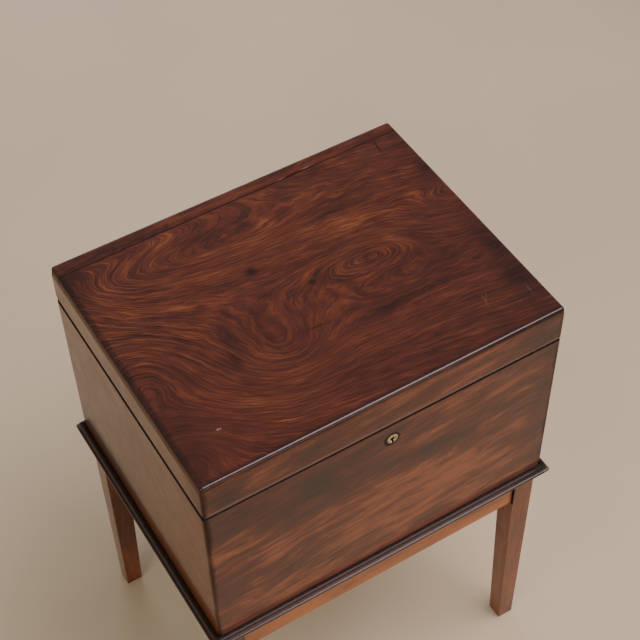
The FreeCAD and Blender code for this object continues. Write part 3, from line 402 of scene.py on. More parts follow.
def front_dirt_and_shade(tree, place):
    """The front's darkening: dirt round the keyhole, and the darkening of its edges, which is partly painted
    shade.
    """
    return add(tree, "Math", (keyhole_grime(tree, place), edge_dirt_and_shade(tree, place)), operation="MAXIMUM")


def open_joint(tree, place):
    """Dirt along the joint between the board and the strip of the lid's top, and a painted shadow where it
    has opened.
    """
    across, deep = (add(tree, "SeparateXYZ", (place,), out=axis) for axis in range(2))
    slope = (JOINT_RIGHT - JOINT_LEFT) / (2 * BOX_HIGH.x)
    line = add(tree, "Math", (across, slope, (JOINT_LEFT + JOINT_RIGHT) / 2), operation="MULTIPLY_ADD")
    beside = add(tree, "Math", (deep, line), operation="SUBTRACT")
    away = add(tree, "Math", (beside,), operation="ABSOLUTE")
    dirt = add(tree, "MapRange", (away, 1.4 * MM, 0.4 * MM, 0.0, 0.4), **SOFT)
    return bells(tree, flattened(tree, place, 0, 1), JOINT_SHADOWS, dirt)


def painted_glints(tree, place):
    """Painted glints of light in the joint where it has opened."""
    return bells(tree, flattened(tree, place, 0, 1), JOINT_GLINTS, 0.0)


def side_dirt_and_shade(tree, place):
    """The darkening of the box's sides: dirt along their edges and at the lid's front, and painted shade near
    the moulding and in part along the seam.
    """
    spots = bells(tree, flattened(tree, place, 1, 2), SIDE_DIRT_AND_SHADE, 0.0)
    return add(tree, "Math", (spots, edge_dirt_and_shade(tree, place)), operation="MAXIMUM")


def pale_seam_and_dust(tree, place):
    """Where the front turns greyer: a pale band along the lid's lower edge, and under dust in the angle over
    the moulding."""
    up = add(tree, "SeparateXYZ", (place,), out=2)
    ragged = summed(tree, ((grain(tree, place, (0.05, 0.05, 0.02), 2.0), 4.0 * MM),), 0.0)
    height = add(tree, "Math", (up, ragged), operation="ADD")
    foot = add(tree, "MapRange", (height, SEAM, SEAM + 1.0 * MM, 0.0, 0.8), **SOFT)
    top = add(tree, "MapRange", (height, SEAM + 8.0 * MM, SEAM + 3.0 * MM), **SOFT)
    edge = add(tree, "Math", (foot, top), operation="MULTIPLY")
    angle = add(tree, "MapRange", (height, RIM_TOP + 14.0 * MM, RIM_TOP, 0.0, 0.4), **SOFT)
    return add(tree, "Math", (edge, angle), operation="MAXIMUM")


def joint_dirt_and_shade(tree, place):
    """Dirt and painted shade in the recess between a leg's head and the rails that run into it."""
    out_x, out_y, up = outwards(tree, place)
    side = add(tree, "MapRange", (out_x, LEG_INNER.x + 1.2 * MM, LEG_INNER.x + 0.4 * MM))
    face = add(tree, "MapRange", (out_y, LEG_INNER.y + 1.2 * MM, LEG_INNER.y + 0.4 * MM))
    either = add(tree, "Math", (side, face), operation="MAXIMUM")
    head = add(tree, "MapRange", (up, RAIL_FOOT - 1.0 * MM, RAIL_FOOT + 1.0 * MM))
    return add(tree, "Math", (either, head), operation="MULTIPLY")


def corner_highlight(tree, place):
    """A painted highlight on the bead of the moulding at its corners."""
    out_x, out_y, up = outwards(tree, place)
    near_x = add(tree, "MapRange", (out_x, RIM_REACH.x - 12.0 * MM, RIM_REACH.x - 6.0 * MM), **SOFT)
    near_y = add(tree, "MapRange", (out_y, RIM_REACH.y - 12.0 * MM, RIM_REACH.y - 6.0 * MM), **SOFT)
    corner = add(tree, "Math", (near_x, near_y), operation="MULTIPLY")
    bead = add(tree, "MapRange", (up, RIM_TOP - 6.0 * MM, RIM_TOP - 8.0 * MM, 0.0, 0.7))
    return add(tree, "Math", (corner, bead), operation="MULTIPLY")


# The places below are in millimetres and degrees: middle, two radii, amount, and a turn if they have one.
#
# The front's darker and lighter places, with middles across and up; the amount is how much lighter.

FRONT_CLOUDS = (
    (-92, 594, 24, 26, -0.26),
    (-112, 547, 30, 8, -0.18),
    (-58, 602, 26, 14, -0.10),
    (-182, 606, 26, 9, -0.12),
    (62, 549, 62, 10, -0.26, -6),
    (104, 541, 24, 7, -0.16, -4),
    (150, 558, 10, 6, -0.15),
    (186, 529, 24, 6, -0.14, -10),
    (202, 500, 30, 6, -0.12, -5),
    (200, 456, 20, 9, -0.14),
    (196, 425, 18, 8, -0.10),
    (68, 399, 34, 8, -0.10),
    (90, 590, 36, 6, -0.08),
    (110, 478, 95, 32, 0.16, -3),
    (-15, 472, 60, 26, 0.14),
    (72, 577, 50, 6, 0.14, -4),
    (150, 615, 62, 8, 0.10),
    (-207, 652, 22, 18, -0.34),
    (-104, 650, 32, 14, -0.16),
    (125, 676, 70, 6, 0.10),
    (115, 653, 60, 9, 0.08),
    (216, 652, 20, 15, -0.18),
    (-165, 588, 70, 34, -0.20),
    (-30, 606, 60, 30, -0.10),
    (100, 520, 45, 12, -0.18, -6),
    (226, 560, 18, 190, -0.14),
    (40, 440, 180, 70, 0.14),
    (-195, 658, 40, 20, -0.20),
    (-70, 676, 30, 12, -0.20),
    (0, 655, 30, 12, 0.12),
    (-102, 620, 30, 12, -0.16),
    (13, 618, 16, 10, -0.20),
    (-84, 574, 24, 20, -0.22),
    (162, 556, 26, 14, -0.16),
    (13, 530, 16, 9, -0.22),
    (112, 530, 16, 9, -0.16),
    (-150, 500, 24, 26, 0.34),
    (130, 508, 34, 12, 0.14),
    (-53, 440, 20, 18, 0.12),
    (28, 404, 34, 10, 0.14),
    (60, 387, 260, 8, 0.22),
    (-88, 500, 22, 18, 0.26),
    (-75, 528, 44, 10, 0.14, -4),
    (79, 513, 18, 11, -0.16),
    (-18, 402, 30, 9, -0.14),
    (150, 416, 22, 14, -0.13),
    (-18, 612, 60, 14, -0.14),
    (-146, 566, 28, 24, -0.12),
    (30, 530, 62, 9, -0.13),
    (180, 508, 18, 12, 0.17),
    (-15, 440, 30, 14, 0.14),
    (-86, 666, 20, 14, -0.14),
    (26, 664, 26, 12, 0.12),
)

# The same for the sides, with middles to the back and up, and for the legs, with middles across and up.
# The dirt and shade of the sides is how much of it lies there; near the moulding it is painted shade.

SIDE_CLOUDS = (
    (-150, 540, 70, 200, 0.34),
    (-165, 660, 60, 40, -0.06),
    (100, 540, 130, 80, -0.16),
    # Painted dark reflection and shade low on the side, over the moulding.
    (125, 412, 95, 30, -0.68),
    (-90, 490, 60, 40, 0.16),
)
SIDE_DIRT_AND_SHADE = ((110, 412, 90, 20, 0.42), (-186, 658, 34, 46, 0.4))
# The legs' dark place is painted shade under the piece.
LEG_SHADE = ((-210, 200, 40, 170, -0.4),)

# The figure of the top: the height of the grain rises towards the back, and a hill or a dip in it
# makes rings and hairpins, as where a board is cut across a fork of the trunk. The slopes are the
# rise towards the back and to the right, and the amount of each hill is its rise.

SLOPE_BACK, SLOPE_RIGHT = 0.45, 0.08
FIGURE = (
    (-60, 106, 130, 30, 20, -4),
    (-255, 110, 60, 70, -30),
    (-150, 156, 150, 22, -19, 2),
    (86, 4, 58, 21, -24, -3),
    (95, -44, 85, 20, 7, -3),
    (-72, -62, 62, 66, 34),
    (40, -88, 110, 42, 22),
    (-218, -20, 52, 60, -36),
    (-240, -135, 75, 45, -24),
    (-205, -148, 26, 15, -3),
    (202, 62, 30, 14, -7, -10),
    (230, 30, 60, 40, 14),
    (205, -100, 90, 45, 12),
)

# Where the lines show more or less clearly than elsewhere.

CLEAR = (
    (-215, 60, 90, 90, 0.45),
    (70, 4, 90, 30, 0.35),
    (-110, -100, 60, 50, 0.15),
    (-195, -135, 50, 50, -0.30),
    (115, 58, 70, 16, 0.40, -9),
    (-40, -30, 45, 45, -0.20),
    (200, -70, 40, 60, -0.15),
    (40, -80, 50, 25, -0.20),
)

# Darker and lighter places of the top, with its knots, its faint cross marks and the crack.

TOP_CLOUDS = (
    (-68, 131, 30, 12, -0.34),
    (-222, 152, 18, 10, -0.30),
    (228, 92, 10, 26, -0.22),
    (224, -50, 14, 34, -0.26),
    (218, -113, 20, 20, -0.22),
    (-40, 53, 6, 5, -0.55, 30),
    (12, 1, 5, 4, -0.50),
    (66, -77, 26, 7, -0.28, 6),
    (-110, -20, 10, 18, -0.20),
    (-122, -56, 9, 11, -0.20),
    (15, -70, 50, 45, 0.12),
    (-110, 150, 60, 12, 0.20),
    (150, -40, 26, 60, -0.10),
    (-15, -59, 17, 1.3, -0.30, -4),
    (-24, -5, 12, 1.2, -0.24, 6),
    (197, 151, 10, 1.1, -0.85, 84),
    (115, 58, 58, 6, 0.20, -9),
    (-135, 49, 80, 9, 0.14, -19),
    (122, 9, 12, 14, 0.14),
    (60, -25, 60, 5, 0.10),
    (-190, 95, 26, 26, 0.08),
    (-58, 100, 70, 12, 0.12, -6),
    (-120, -125, 60, 22, 0.12, -38),
    (-20, 80, 200, 80, 0.10),
    (100, -140, 150, 30, -0.08),
    (-222, -150, 16, 40, -0.20),
    (228, 0, 26, 160, -0.06),
    (222, -130, 24, 50, -0.16),
    (-51, 151, 22, 12, -0.12),
    (150, 104, 50, 14, -0.13),
    (81, 86, 24, 14, -0.12),
    (48, 62, 18, 9, 0.14),
    (147, 42, 16, 10, 0.14),
    (-98, -60, 28, 12, 0.14, -20),
    (78, -48, 24, 9, 0.14),
    (46, -118, 22, 12, 0.12),
    (-205, 2, 36, 14, 0.13),
    (-120, 42, 22, 10, -0.13),
)

# Where the joint has opened, with the shadow and the glints painted in it, and the specks of wax and pale
# scratches.

JOINT_SHADOWS = ((85, 165.4, 20, 1.5, 0.7, 2), (30, 164.2, 26, 0.6, 0.25, 1))
# Painted glints of light in the opened joint.
JOINT_GLINTS = ((66, 165.4, 5, 0.6, 0.375, 2), (102, 166.4, 6, 0.6, 0.437, 2))
WAX_MARKS = (
    (-181.0, -124.6, 1.3, 1.1, 0.7),
    (-178.2, -125.2, 1.0, 0.9, 0.6),
    (163, -126, 10, 0.7, 0.10, 80),
    (216, -138, 6, 0.8, 0.12, 88),
    (168, -121, 7, 0.7, 0.07, 60),
)


def figured_wood(colours):
    """Crotch-figured mahogany, stained, French polished and waxed: dark red-brown with fine lighter
    lines that follow the swirls, deep and softly glossy."""
    material, tree, shader, place = new_material("mahogany, figured, French polished")
    across, deep = (add(tree, "SeparateXYZ", (place,), out=axis) for axis in range(2))
    flat = flattened(tree, place, 0, 1)
    height = add(tree, "Math", (across, SLOPE_RIGHT / MM, 0.0), operation="MULTIPLY_ADD")
    height = add(tree, "Math", (deep, SLOPE_BACK / MM, height), operation="MULTIPLY_ADD")
    height = bells(tree, flat, FIGURE, height)
    drift = grain(tree, flat, (0.045, 0.028, 1.0), 3.0, 0.55, 2.0)
    quiver = grain(tree, flat, (0.010, 0.006, 1.0), 2.0, 0.5, 5.0)
    wander = summed(tree, ((drift, 5.5), (quiver, 0.9)), 0.0)
    height = add(tree, "Math", (height, wander), operation="ADD")
    # Growth rings about 4 mm apart in the height of the grain, with finer lines between.
    level = add(tree, "Math", (height, MM), operation="MULTIPLY")
    rings = add(tree, "CombineXYZ", (across, level, deep))
    broad = grain(tree, rings, (0.16, 0.011, 0.16), 2.0, 0.5, 4.0)
    bands = grain(tree, rings, (0.10, 0.0036, 0.10), 2.0, 0.6, 8.0)
    lines = grain(tree, rings, (0.06, 0.0014, 0.06), 2.0, 0.6, 1.0)
    hairs = grain(tree, rings, (0.02, 0.0007, 0.02), 1.0, 0.5, 3.0)
    cloud = grain(tree, flat, (0.05, 0.04, 1.0), 3.0, 0.5, 6.0)
    figure = summed(tree, ((broad, 0.5), (bands, 0.75), (lines, 1.3), (hairs, 1.25)), 0.0)
    clear = bells(tree, flat, CLEAR, 0.6)
    body = summed(tree, ((cloud, 0.4),))
    tone = add(tree, "Math", (figure, clear, body), operation="MULTIPLY_ADD")
    tone = bells(tree, flat, TOP_CLOUDS, tone)
    # Darker along the front and left edges: a painted dark reflection of the slightly rounded worn edge.
    from_left = add(tree, "Math", (across, BOX_LOW.x), operation="SUBTRACT")
    from_front = add(tree, "Math", (deep, BOX_LOW.y), operation="SUBTRACT")
    inwards = add(tree, "Math", (from_left, from_front), operation="MINIMUM")
    rim = add(tree, "MapRange", (inwards, 9.0 * MM, 5.0 * MM, 0.0, -0.28), **SOFT)
    tone = add(tree, "Math", (tone, rim), operation="ADD")
    tones = (colours.top_shadow, colours.top_dark, colours.top_mid, colours.top_light, colours.top_streak)
    stops = tuple(zip((0.02, 0.28, 0.5, 0.74, 1.0), tones))
    colour = add(tree, "ValToRGB", (tone,), stops=stops)
    marks = bells(tree, flat, WAX_MARKS, 0.0)
    for share, tint in ((marks, colours.wax), (open_joint(tree, place), colours.grime)):
        colour = add(tree, "Mix", {0: share, 6: colour, 7: tint}, **COLOUR)
    feed(tree, shader, {"Base Color": colour})
    polished(shader, 0.1, 0.8)
    planed(tree, shader, place, (0.28, 0.42), ((lines, 0.03 * MM),))
    return material


def old_brass(colours):
    """Cast and filed brass, long handled: smooth and pale on the high places, brown in the hollows."""
    material, tree, shader, place = new_material("brass, cast and worn")
    tarnish = grain(tree, place, (0.005,) * 3, 4.0, 0.6)
    two_toned(tree, shader, tarnish, (0.34, colours.brass_dull), (0.56, colours.brass), rough=(0.52, 0.28))
    shader.inputs["Metallic"].default_value = 1.0
    scratches = grain(tree, place, (0.002, 0.0002, 0.002))
    bumped(tree, shader, ((tarnish, 0.05 * MM), (scratches, 0.01 * MM)))
    return material


def dark_metal(name, metal, oxide, rough, size):
    """Iron or spring steel with a thin brown oxide: dull, with brighter rubbed places. The size is that
    of the patches, in metres."""
    material, tree, shader, place = new_material(name)
    scale = grain(tree, place, (size,) * 3, 4.0, 0.6)
    two_toned(tree, shader, scale, (0.40, metal), (0.72, oxide), rough=(rough, rough + 0.25))
    feed(tree, shader, {"Metallic": add(tree, "MapRange", (scale, *USUAL, 1.0, 0.55))})
    bumped(tree, shader, ((scale, 0.1 * MM),))
    return material


def deal(colours):
    """Unpolished pine, planed and darkened by age: dry, pale brown with darker summer bands."""
    material, tree, shader, place = new_material("deal, planed and unpolished")
    rings = grain(tree, place, (0.5, 0.005, 0.02))
    stains = grain(tree, place, (0.08, 0.06, 0.06), 3.0, 0.5, 3.0)
    dark = tuple(channel * 0.45 for channel in colours.deal_mid)
    tone = summed(tree, ((rings, 2.0), (stains, 1.0)))
    colour = add(tree, "ValToRGB", (tone,), stops=((0.35, colours.deal_mid), (0.75, dark)))
    dullness = add(tree, "MapRange", (stains, *USUAL, 0.70, 0.85))
    feed(tree, shader, {"Base Color": colour, "Roughness": dullness})
    fibres = grain(tree, place, (0.02, 0.0006, 0.0006))
    bumped(tree, shader, ((fibres, 0.08 * MM),))
    return material


def old_polish_and_shade(colours):
    """Shellac, wax and dust, packed into a hollow by years of polishing: nearly black and matt; in the
    moulding's cove and the seam's edges it is partly painted shade.
    """
    material, tree, shader, place = new_material("old polish and dust, with painted shade")
    lumps = grain(tree, place, (0.006, 0.006, 0.003), 3.0, 0.6)
    rubbed = tuple(channel * 2.2 for channel in colours.grime)
    two_toned(tree, shader, lumps, (0.40, colours.grime), (0.70, rubbed), rough=(0.75, 0.55))
    shader.inputs["Specular IOR Level"].default_value = 0.2
    bumped(tree, shader, ((lumps, 0.1 * MM),))
    return material


def plain_floor(colours):
    """Honed limestone, pale and nearly matt."""
    material, tree, shader, place = new_material("limestone, honed")
    clouds = grain(tree, place, (0.5, 0.5, 0.5), 3.0)
    darker = tuple(channel * 0.93 for channel in colours.floor)
    two_toned(tree, shader, clouds, (0.35, darker), (0.65, colours.floor), rough=(0.65, 0.75))
    return material


MATERIALS = {}


def make_materials(context):
    """Every finish, once."""
    if MATERIALS:
        return
    c = context.scene.cellarette_colours
    wood = (c.wood_shadow, c.wood_dark, c.wood_mid, c.wood_light)
    strip = (c.top_shadow, c.top_dark, c.top_mid, c.top_light)
    side = shades(c.side_dark, c.side_light)
    leg = shades(c.leg_dark, c.leg_light)
    edges = ((edge_dirt_and_shade, c.grime),)
    MATERIALS.update(
        top=figured_wood(c),
        strip=straight_wood(
            "mahogany strip, French polished",
            "x",
            strip,
            shift=41.0,
            contrast=1.5,
            covers=((open_joint, c.grime), (painted_glints, c.wax)),
        ),
        front=straight_wood(
            "mahogany, left to right, French polished",
            "x",
            wood,
            tilt=-6.0,
            contrast=1.05,
            clouds=FRONT_CLOUDS,
            covers=((pale_seam_and_dust, c.pale_grey_and_highlight), (front_dirt_and_shade, c.grime)),
        ),
        back=straight_wood(
            "mahogany back, French polished", "x", wood, shift=13.0, contrast=0.7, covers=edges
        ),
        side=straight_wood(
            "mahogany, front to back, French polished",
            "y",
            side,
            shift=11.0,
            coat=0.57,
            contrast=0.5,
            clouds=SIDE_CLOUDS,
            covers=((side_dirt_and_shade, c.grime),),
        ),
        end=straight_wood(
            "mahogany, end grain, polished", "x", side, shift=19.0, rough=0.5, coat=0.4, covers=edges
        ),
        upright=straight_wood(
            "mahogany, upright, waxed",
            "z",
            leg,
            shift=17.0,
            rough=0.4,
            contrast=1.2,
            clouds=LEG_SHADE,
            covers=((joint_dirt_and_shade, c.grime),),
        ),
        grime=old_polish_and_shade(c),
        brass=old_brass(c),
        iron=dark_metal("iron, blackened", c.iron, c.oxide, 0.45, 0.004),
        steel=dark_metal("steel, spring temper", c.steel, c.oxide, 0.3, 0.003),
        deal=deal(c),
        floor=plain_floor(c),
    )
    # The grain of these runs along the piece, which lies one way or the other.
    rail = shades(c.rail_dark, c.rail_light)
    inside = (c.wood_dark, c.wood_mid, c.inside_mid, c.wood_light)
    # A painted highlight on the moulding's corners.
    rubbed = ((corner_highlight, c.pale_grey_and_highlight),)
    ways = (
        ("x", "left to right", c.rim_dark, 23.0, 31.0, 7.0),
        ("y", "front to back", c.rim_side_tone, 29.0, 37.0, 5.0),
    )
    for way, words, darkest, rim_shift, rail_shift, inside_shift in ways:
        MATERIALS["rim_" + way] = straight_wood(
            f"mahogany moulding, {words}, French polished",
            way,
            (darkest, darkest, c.rim_mid, c.wood_dark),
            shift=rim_shift,
            rough=0.3,
            coat=1.0,
            covers=rubbed,
        )
        MATERIALS["rail_" + way] = straight_wood(
            f"mahogany rail, {words}, waxed", way, rail, shift=rail_shift, rough=0.42, contrast=1.4
        )
        MATERIALS["inside_" + way] = straight_wood(
            f"mahogany, {words}, unpolished",
            way,
            inside,
            shift=inside_shift,
            rough=0.62,
            coat=0.0,
            contrast=0.7,
        )


# Pieces. Each is a clean copy of its solid with the arrises that hands reach softened.


def mitred(first, second):
    """Whether an edge is in one of the four mitres of the box, the lid or the moulding."""
    return all(
        abs((abs(spot.x) - BOX_HIGH.x) - (abs(spot.y) - BOX_HIGH.y)) < IN_PLANE
        for spot in (first, second)
    )


def softened(node, name, softness, spared=None, worn=None):
    """A merged copy of a solid with its outward arrises rounded, but for those that are spared. Worn
    is a test for the arrises that are rounded more, and by how much."""
    work = bmesh.new()
    work.from_mesh(NODES[node].data)
    bmesh.ops.remove_doubles(work, verts=work.verts, dist=WELD)
    bmesh.ops.dissolve_limit(
        work, angle_limit=FLAT_TURN, verts=work.verts, edges=work.edges, use_dissolve_boundaries=False
    )
    rounds = {}
    for edge in work.edges:
        if len(edge.link_faces) != 2 or edge.calc_face_angle_signed(0.0) < ARRIS_TURN:
            continue
        first, second = (vert.co for vert in edge.verts)
        if spared is not None and spared(first, second):
            continue
        more = worn is not None and worn[0](first, second)
        rounds.setdefault(worn[1] if more else softness, []).append(edge)
    for size, arrises in sorted(rounds.items(), key=lambda item: -item[0]):
        if size <= 0.0:
            continue
        bmesh.ops.bevel(
            work,
            geom=[edge for edge in arrises if edge.is_valid],
            offset=size,
            offset_type="OFFSET",
            affect="EDGES",
            segments=4 if size > 1.0 * MM else 2,
            profile=0.5,
            material=-1,
            # The worn arris runs round corners of short edges, which would hold it to their length.
            clamp_overlap=size <= softness,
        )
    mesh = bpy.data.meshes.new(name)
    work.to_mesh(mesh)
    work.free()
    mesh.shade_smooth()
    mesh.set_sharp_from_angle(angle=SMOOTH_TURN)
    piece = bpy.data.objects.new(name, mesh)
    bpy.context.scene.collection.objects.link(piece)
    # Large flat faces keep their own normals, so that only the rounded arrises catch the light.
    weighted = piece.modifiers.new("weighted normals", "WEIGHTED_NORMAL")
    weighted.mode = "FACE_AREA"
    weighted.keep_sharp = True
    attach(piece, NODES[node]["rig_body"])
    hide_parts(node)
    return piece


def finish_with(piece, slot, *materials):
    """Gives a piece its materials. The slot is not used."""
    piece.data.materials.clear()
    for key in materials:
        piece.data.materials.append(MATERIALS[key])


def finish_metal(metal, nodes, softness):
    """Finishes the pieces that are of one metal."""
    for node in nodes:
        finish_with(softened(node, f"{metal}_{node}", softness), metal, metal)


def cut_near_ends(work, axis, end, distances):
    """Cuts the mesh across an axis at each of the distances in from both of its ends."""
    for distance in distances:
        for hand in (-1, 1):
            bmesh.ops.bisect_plane(
                work,
                geom=work.verts[:] + work.edges[:] + work.faces[:],
                dist=WELD / 2,
                plane_co=axis * hand * (end - distance),
                plane_no=axis,
            )


def reshaped(piece, reach, radius, steps, move):
    """Cuts a piece finely near the ends of its reach, and moves each point."""
    work = bmesh.new()
    work.from_mesh(piece.data)
    distances = [radius * step for step in steps]
    for number, end in enumerate(reach):
        axis = Vector((0.0, 0.0, 0.0))
        axis[number] = 1.0
        cut_near_ends(work, axis, end, distances)
    for vert in work.verts:
        move(vert.co)
    work.to_mesh(piece.data)
    work.free()
    piece.data.shade_smooth()
    piece.data.set_sharp_from_angle(angle=SMOOTH_TURN)


def round_corners(piece, radius):
    """Wears the upright outer corners of the moulded frame round."""

    def move(spot):
        beyond = Vector((abs(spot.x) - RIM_REACH.x + radius, abs(spot.y) - RIM_REACH.y + radius))
        if min(beyond) > 0.0 and beyond.length > radius:
            beyond *= 1.0 - radius / beyond.length
            spot.x -= math.copysign(beyond.x, spot.x)
            spot.y -= math.copysign(beyond.y, spot.y)

    reshaped(piece, RIM_REACH, radius, (1.0, 0.62, 0.29, 0.08), move)


def round_top(piece, radius):
    """Wears the upper arris of the lid rounder than it was made."""

    def move(spot):
        beyond = Vector((abs(spot.x) - BOX_HIGH.x + BOX_CORNER, abs(spot.y) - BOX_HIGH.y + BOX_CORNER))
        if min(beyond) > 0.0:
            out = beyond.normalized()
            depth = BOX_CORNER - beyond.length
        else:
            out = Vector((1.0, 0.0)) if beyond.x > beyond.y else Vector((0.0, 1.0))
            depth = BOX_CORNER - max(beyond)
        over = Vector((radius - depth, spot.z - LID_TOP + radius))
        if min(over) > 0.0 and over.length > radius:
            over *= 1.0 - radius / over.length
            spot.x -= math.copysign(over.x * out.x, spot.x)
            spot.y -= math.copysign(over.x * out.y, spot.y)
            spot.z -= over.y

    reshaped(piece, (BOX_HIGH.x, BOX_HIGH.y, LID_TOP), radius, (1.0, 0.8), move)


def under_top(first, second):
    """Whether an edge reaches below the upper face of the lid."""
    return min(first.z, second.z) < LID_TOP - 0.5 * MM


class CELLARETTE_OT_lid_top(bpy.types.Operator):
    """Finish the figured top board of the lid and the narrow strip behind it"""

    bl_idname = "cellarette.lid_top"
    bl_label = "Lid top"

    def execute(self, context):
        make_materials(context)
        sizes = context.scene.cellarette_sizes
        # How far up or down a face looks before it counts as the upper face or the one underneath.
        level = 0.35
        for node, name, upper in (
            ("lid_top_board", "top_board", "top"),
            ("lid_top_strip", "top_strip", "strip"),
        ):
            piece = softened(node, name, sizes.wood_arris / 2, under_top)
            round_top(piece, sizes.top_arris)
            # The materials of the upper face, the front, the ends, the back and underneath.
            finish_with(piece, "figured_mahogany", upper, "front", "end", "back", "inside_x")
            for face in piece.data.polygons:
                if face.normal.z < -level:
                    face.material_index = 4
                elif face.normal.z < level:
                    endways = abs(face.normal.x) > abs(face.normal.y)
                    face.material_index = 2 if endways else 1 if face.normal.y < 0.0 else 3
        return {"FINISHED"}


def at_seam(first, second):
    """Whether an edge runs level round the outside of the box, where it meets the lid."""
    outside = all(
        abs(spot.x) > BOX_HIGH.x - EDGE_DEPTH or abs(spot.y) > BOX_HIGH.y - EDGE_DEPTH
        for spot in (first, second)
    )
    level = abs(first.z - second.z) < 2.0 * MM
    return outside and level and abs((first.z + second.z) / 2 - SEAM) < 3.0 * MM


def spared_in_walls(first, second):
    """The mitres, what lies against the lid's top, and the upright corners and cuts inside."""
    against_top = min(first.z, second.z) > TOP_FOOT - 0.1 * MM
    inside = all(
        abs(spot.x) < BOX_HIGH.x - FACE_DEPTH and abs(spot.y) < BOX_HIGH.y - FACE_DEPTH
        for spot in (first, second)
    )
    upright = abs(first.z - second.z) > 0.1 * MM
    return mitred(first, second) or against_top or (inside and upright)


class CELLARETTE_OT_walls(bpy.types.Operator):
    """Finish the mitred walls of the box and of the lid"""

    bl_idname = "cellarette.walls"
    bl_label = "Walls of the box and lid"

    def execute(self, context):
        make_materials(context)
        sizes = context.scene.cellarette_sizes
        arris = sizes.wood_arris
        # How far up or down a face looks before it counts as flat, and as leaning.
        flat, leaning = 0.95, 0.15
        for owner in ("case", "lid"):
            for side in ("front", "right", "back", "left"):
                node = f"{owner}_{side}"
                across = side in ("front", "back")
                edge = {"front": sizes.seam_front, "back": arris}.get(side, sizes.seam_side)
                # The lid's lower edge is worn at the sides alone, and a little less than the box's.
                lid_edge = arris if across else edge * 0.9
                worn = (at_seam, edge if owner == "case" else lid_edge)
                piece = softened(node, f"{owner}_wall_{side}", arris, spared_in_walls, worn)
                inner = "inside_x" if across else "inside_y"
                finish_with(piece, "mahogany", side if across else "side", inner, "grime")
                for face in piece.data.polygons:
                    spot = face.center
                    depth = min(BOX_HIGH.x - abs(spot.x), BOX_HIGH.y - abs(spot.y))
                    at_rim = abs(spot.z - SEAM) < 6.0 * MM
                    # The rims that meet are bare wood, and their rounded edges get the near-black old polish:
                    # partly dirt, partly painted shade of the seam's gap.
                    on_rim = at_rim and abs(face.normal.z) > flat and depth > edge
                    rounded = at_rim and abs(face.normal.z) > leaning and depth < edge
                    dirt_and_shade_edge = rounded and (owner == "case" or not across)
                    face.material_index = 1 if depth > INNER_DEPTH or on_rim else 2 if dirt_and_shade_edge else 0
        return {"FINISHED"}


class CELLARETTE_OT_inside(bpy.types.Operator):
    """Finish the partitions and the bottom board"""

    bl_idname = "cellarette.inside"
    bl_label = "Partitions and bottom"

    def execute(self, context):
        make_materials(context)
        arris = context.scene.cellarette_sizes.wood_arris
        for part in ("long_front", "long_rear", "cross_left", "cross_middle", "cross_right"):
            piece = softened("partition_" + part, "divider_" + part, arris * 1.5)
            finish_with(piece, "plain_mahogany", "inside_x" if part.startswith("long") else "inside_y")
        finish_with(softened("case_bottom", "bottom_board", 0.0), "deal", "deal")
        return {"FINISHED"}


class CELLARETTE_OT_stand(bpy.types.Operator):
    """Finish the legs, rails, moulding and glue blocks of the stand"""

    bl_idname = "cellarette.stand"
    bl_label = "Stand"

    def execute(self, context):
        make_materials(context)
        arris = context.scene.cellarette_sizes.wood_arris
        for corner in ("front_left", "front_right", "rear_right", "rear_left"):
            piece = softened("leg_" + corner, "tapered_leg_" + corner, arris * 1.5)
            finish_with(piece, "mahogany", "upright")
        for side in ("front", "right", "back", "left"):
            way = "x" if side in ("front", "back") else "y"
            piece = softened("rail_" + side, "stand_rail_" + side, arris)
            finish_with(piece, "mahogany", "rail_" + way)
            piece = softened("moulding_" + side, "rim_moulding_" + side, arris, mitred)
            round_corners(piece, context.scene.cellarette_sizes.rim_corner)
            finish_with(piece, "mahogany", "rim_" + way, "grime")
            for face in piece.data.polygons:
                # The cove and the top of the rim, where a cloth doesn't reach: near-black old polish, partly
                # dirt and partly painted shade in the hollow.
                out = max(abs(face.center.x) - BOX_HIGH.x, abs(face.center.y) - BOX_HIGH.y)
                in_cove = face.center.z > COVE_FOOT and -FACE_DEPTH < out < EDGE_DEPTH
                face.material_index = 1 if in_cove else 0
            piece = softened("glue_block_" + side, "block_" + side, arris)
            finish_with(piece, "deal", "deal")
        return {"FINISHED"}


class CELLARETTE_OT_fittings(bpy.types.Operator):
    """Finish the escutcheon, the lock and the hinges"""

    bl_idname = "cellarette.fittings"
    bl_label = "Escutcheon, lock and hinges"

    def execute(self, context):
        make_materials(context)
        arris = context.scene.cellarette_sizes.brass_arris
        brass = ["keyhole_escutcheon", "lock_plate", "lock_link_plate"]
        for hand in ("left", "right"):
            brass += [f"hinge_leaf_case_{hand}", f"hinge_leaf_lid_{hand}", f"hinge_pin_{hand}"]
        finish_metal("brass", brass, arris)
        finish_metal("iron", ("lock_cap", "lock_bolt"), arris)
        finish_metal("steel", ("lock_bolt_spring", "lock_key_pin"), arris / 2)
        return {"FINISHED"}


class CELLARETTE_OT_screws(bpy.types.Operator):
    """Finish the screws"""

    bl_idname = "cellarette.screws"
    bl_label = "Screws"

    def execute(self, context):
        make_materials(context)
        brass = ("hinge_screws_case", "hinge_screws_lid", "lock_screws", "link_screws")
        finish_metal("brass", brass, 0.0)
        finish_metal("iron", ("moulding_screws", "bottom_screws"), 0.0)
        return {"FINISHED"}


# The stage. The camera's place is in metres, and its axes are unit vectors.

CAMERA_PLACE = Vector((-0.5542, -0.9797, 1.9546))
CAMERA_RIGHT = Vector((0.854051, -0.519999, -0.014068))
CAMERA_DOWN = Vector((-0.404560, -0.646966, -0.646348))
CAMERA_AHEAD = Vector((0.326999, 0.557705, -0.762913))
CAMERA_LENS = 83.41


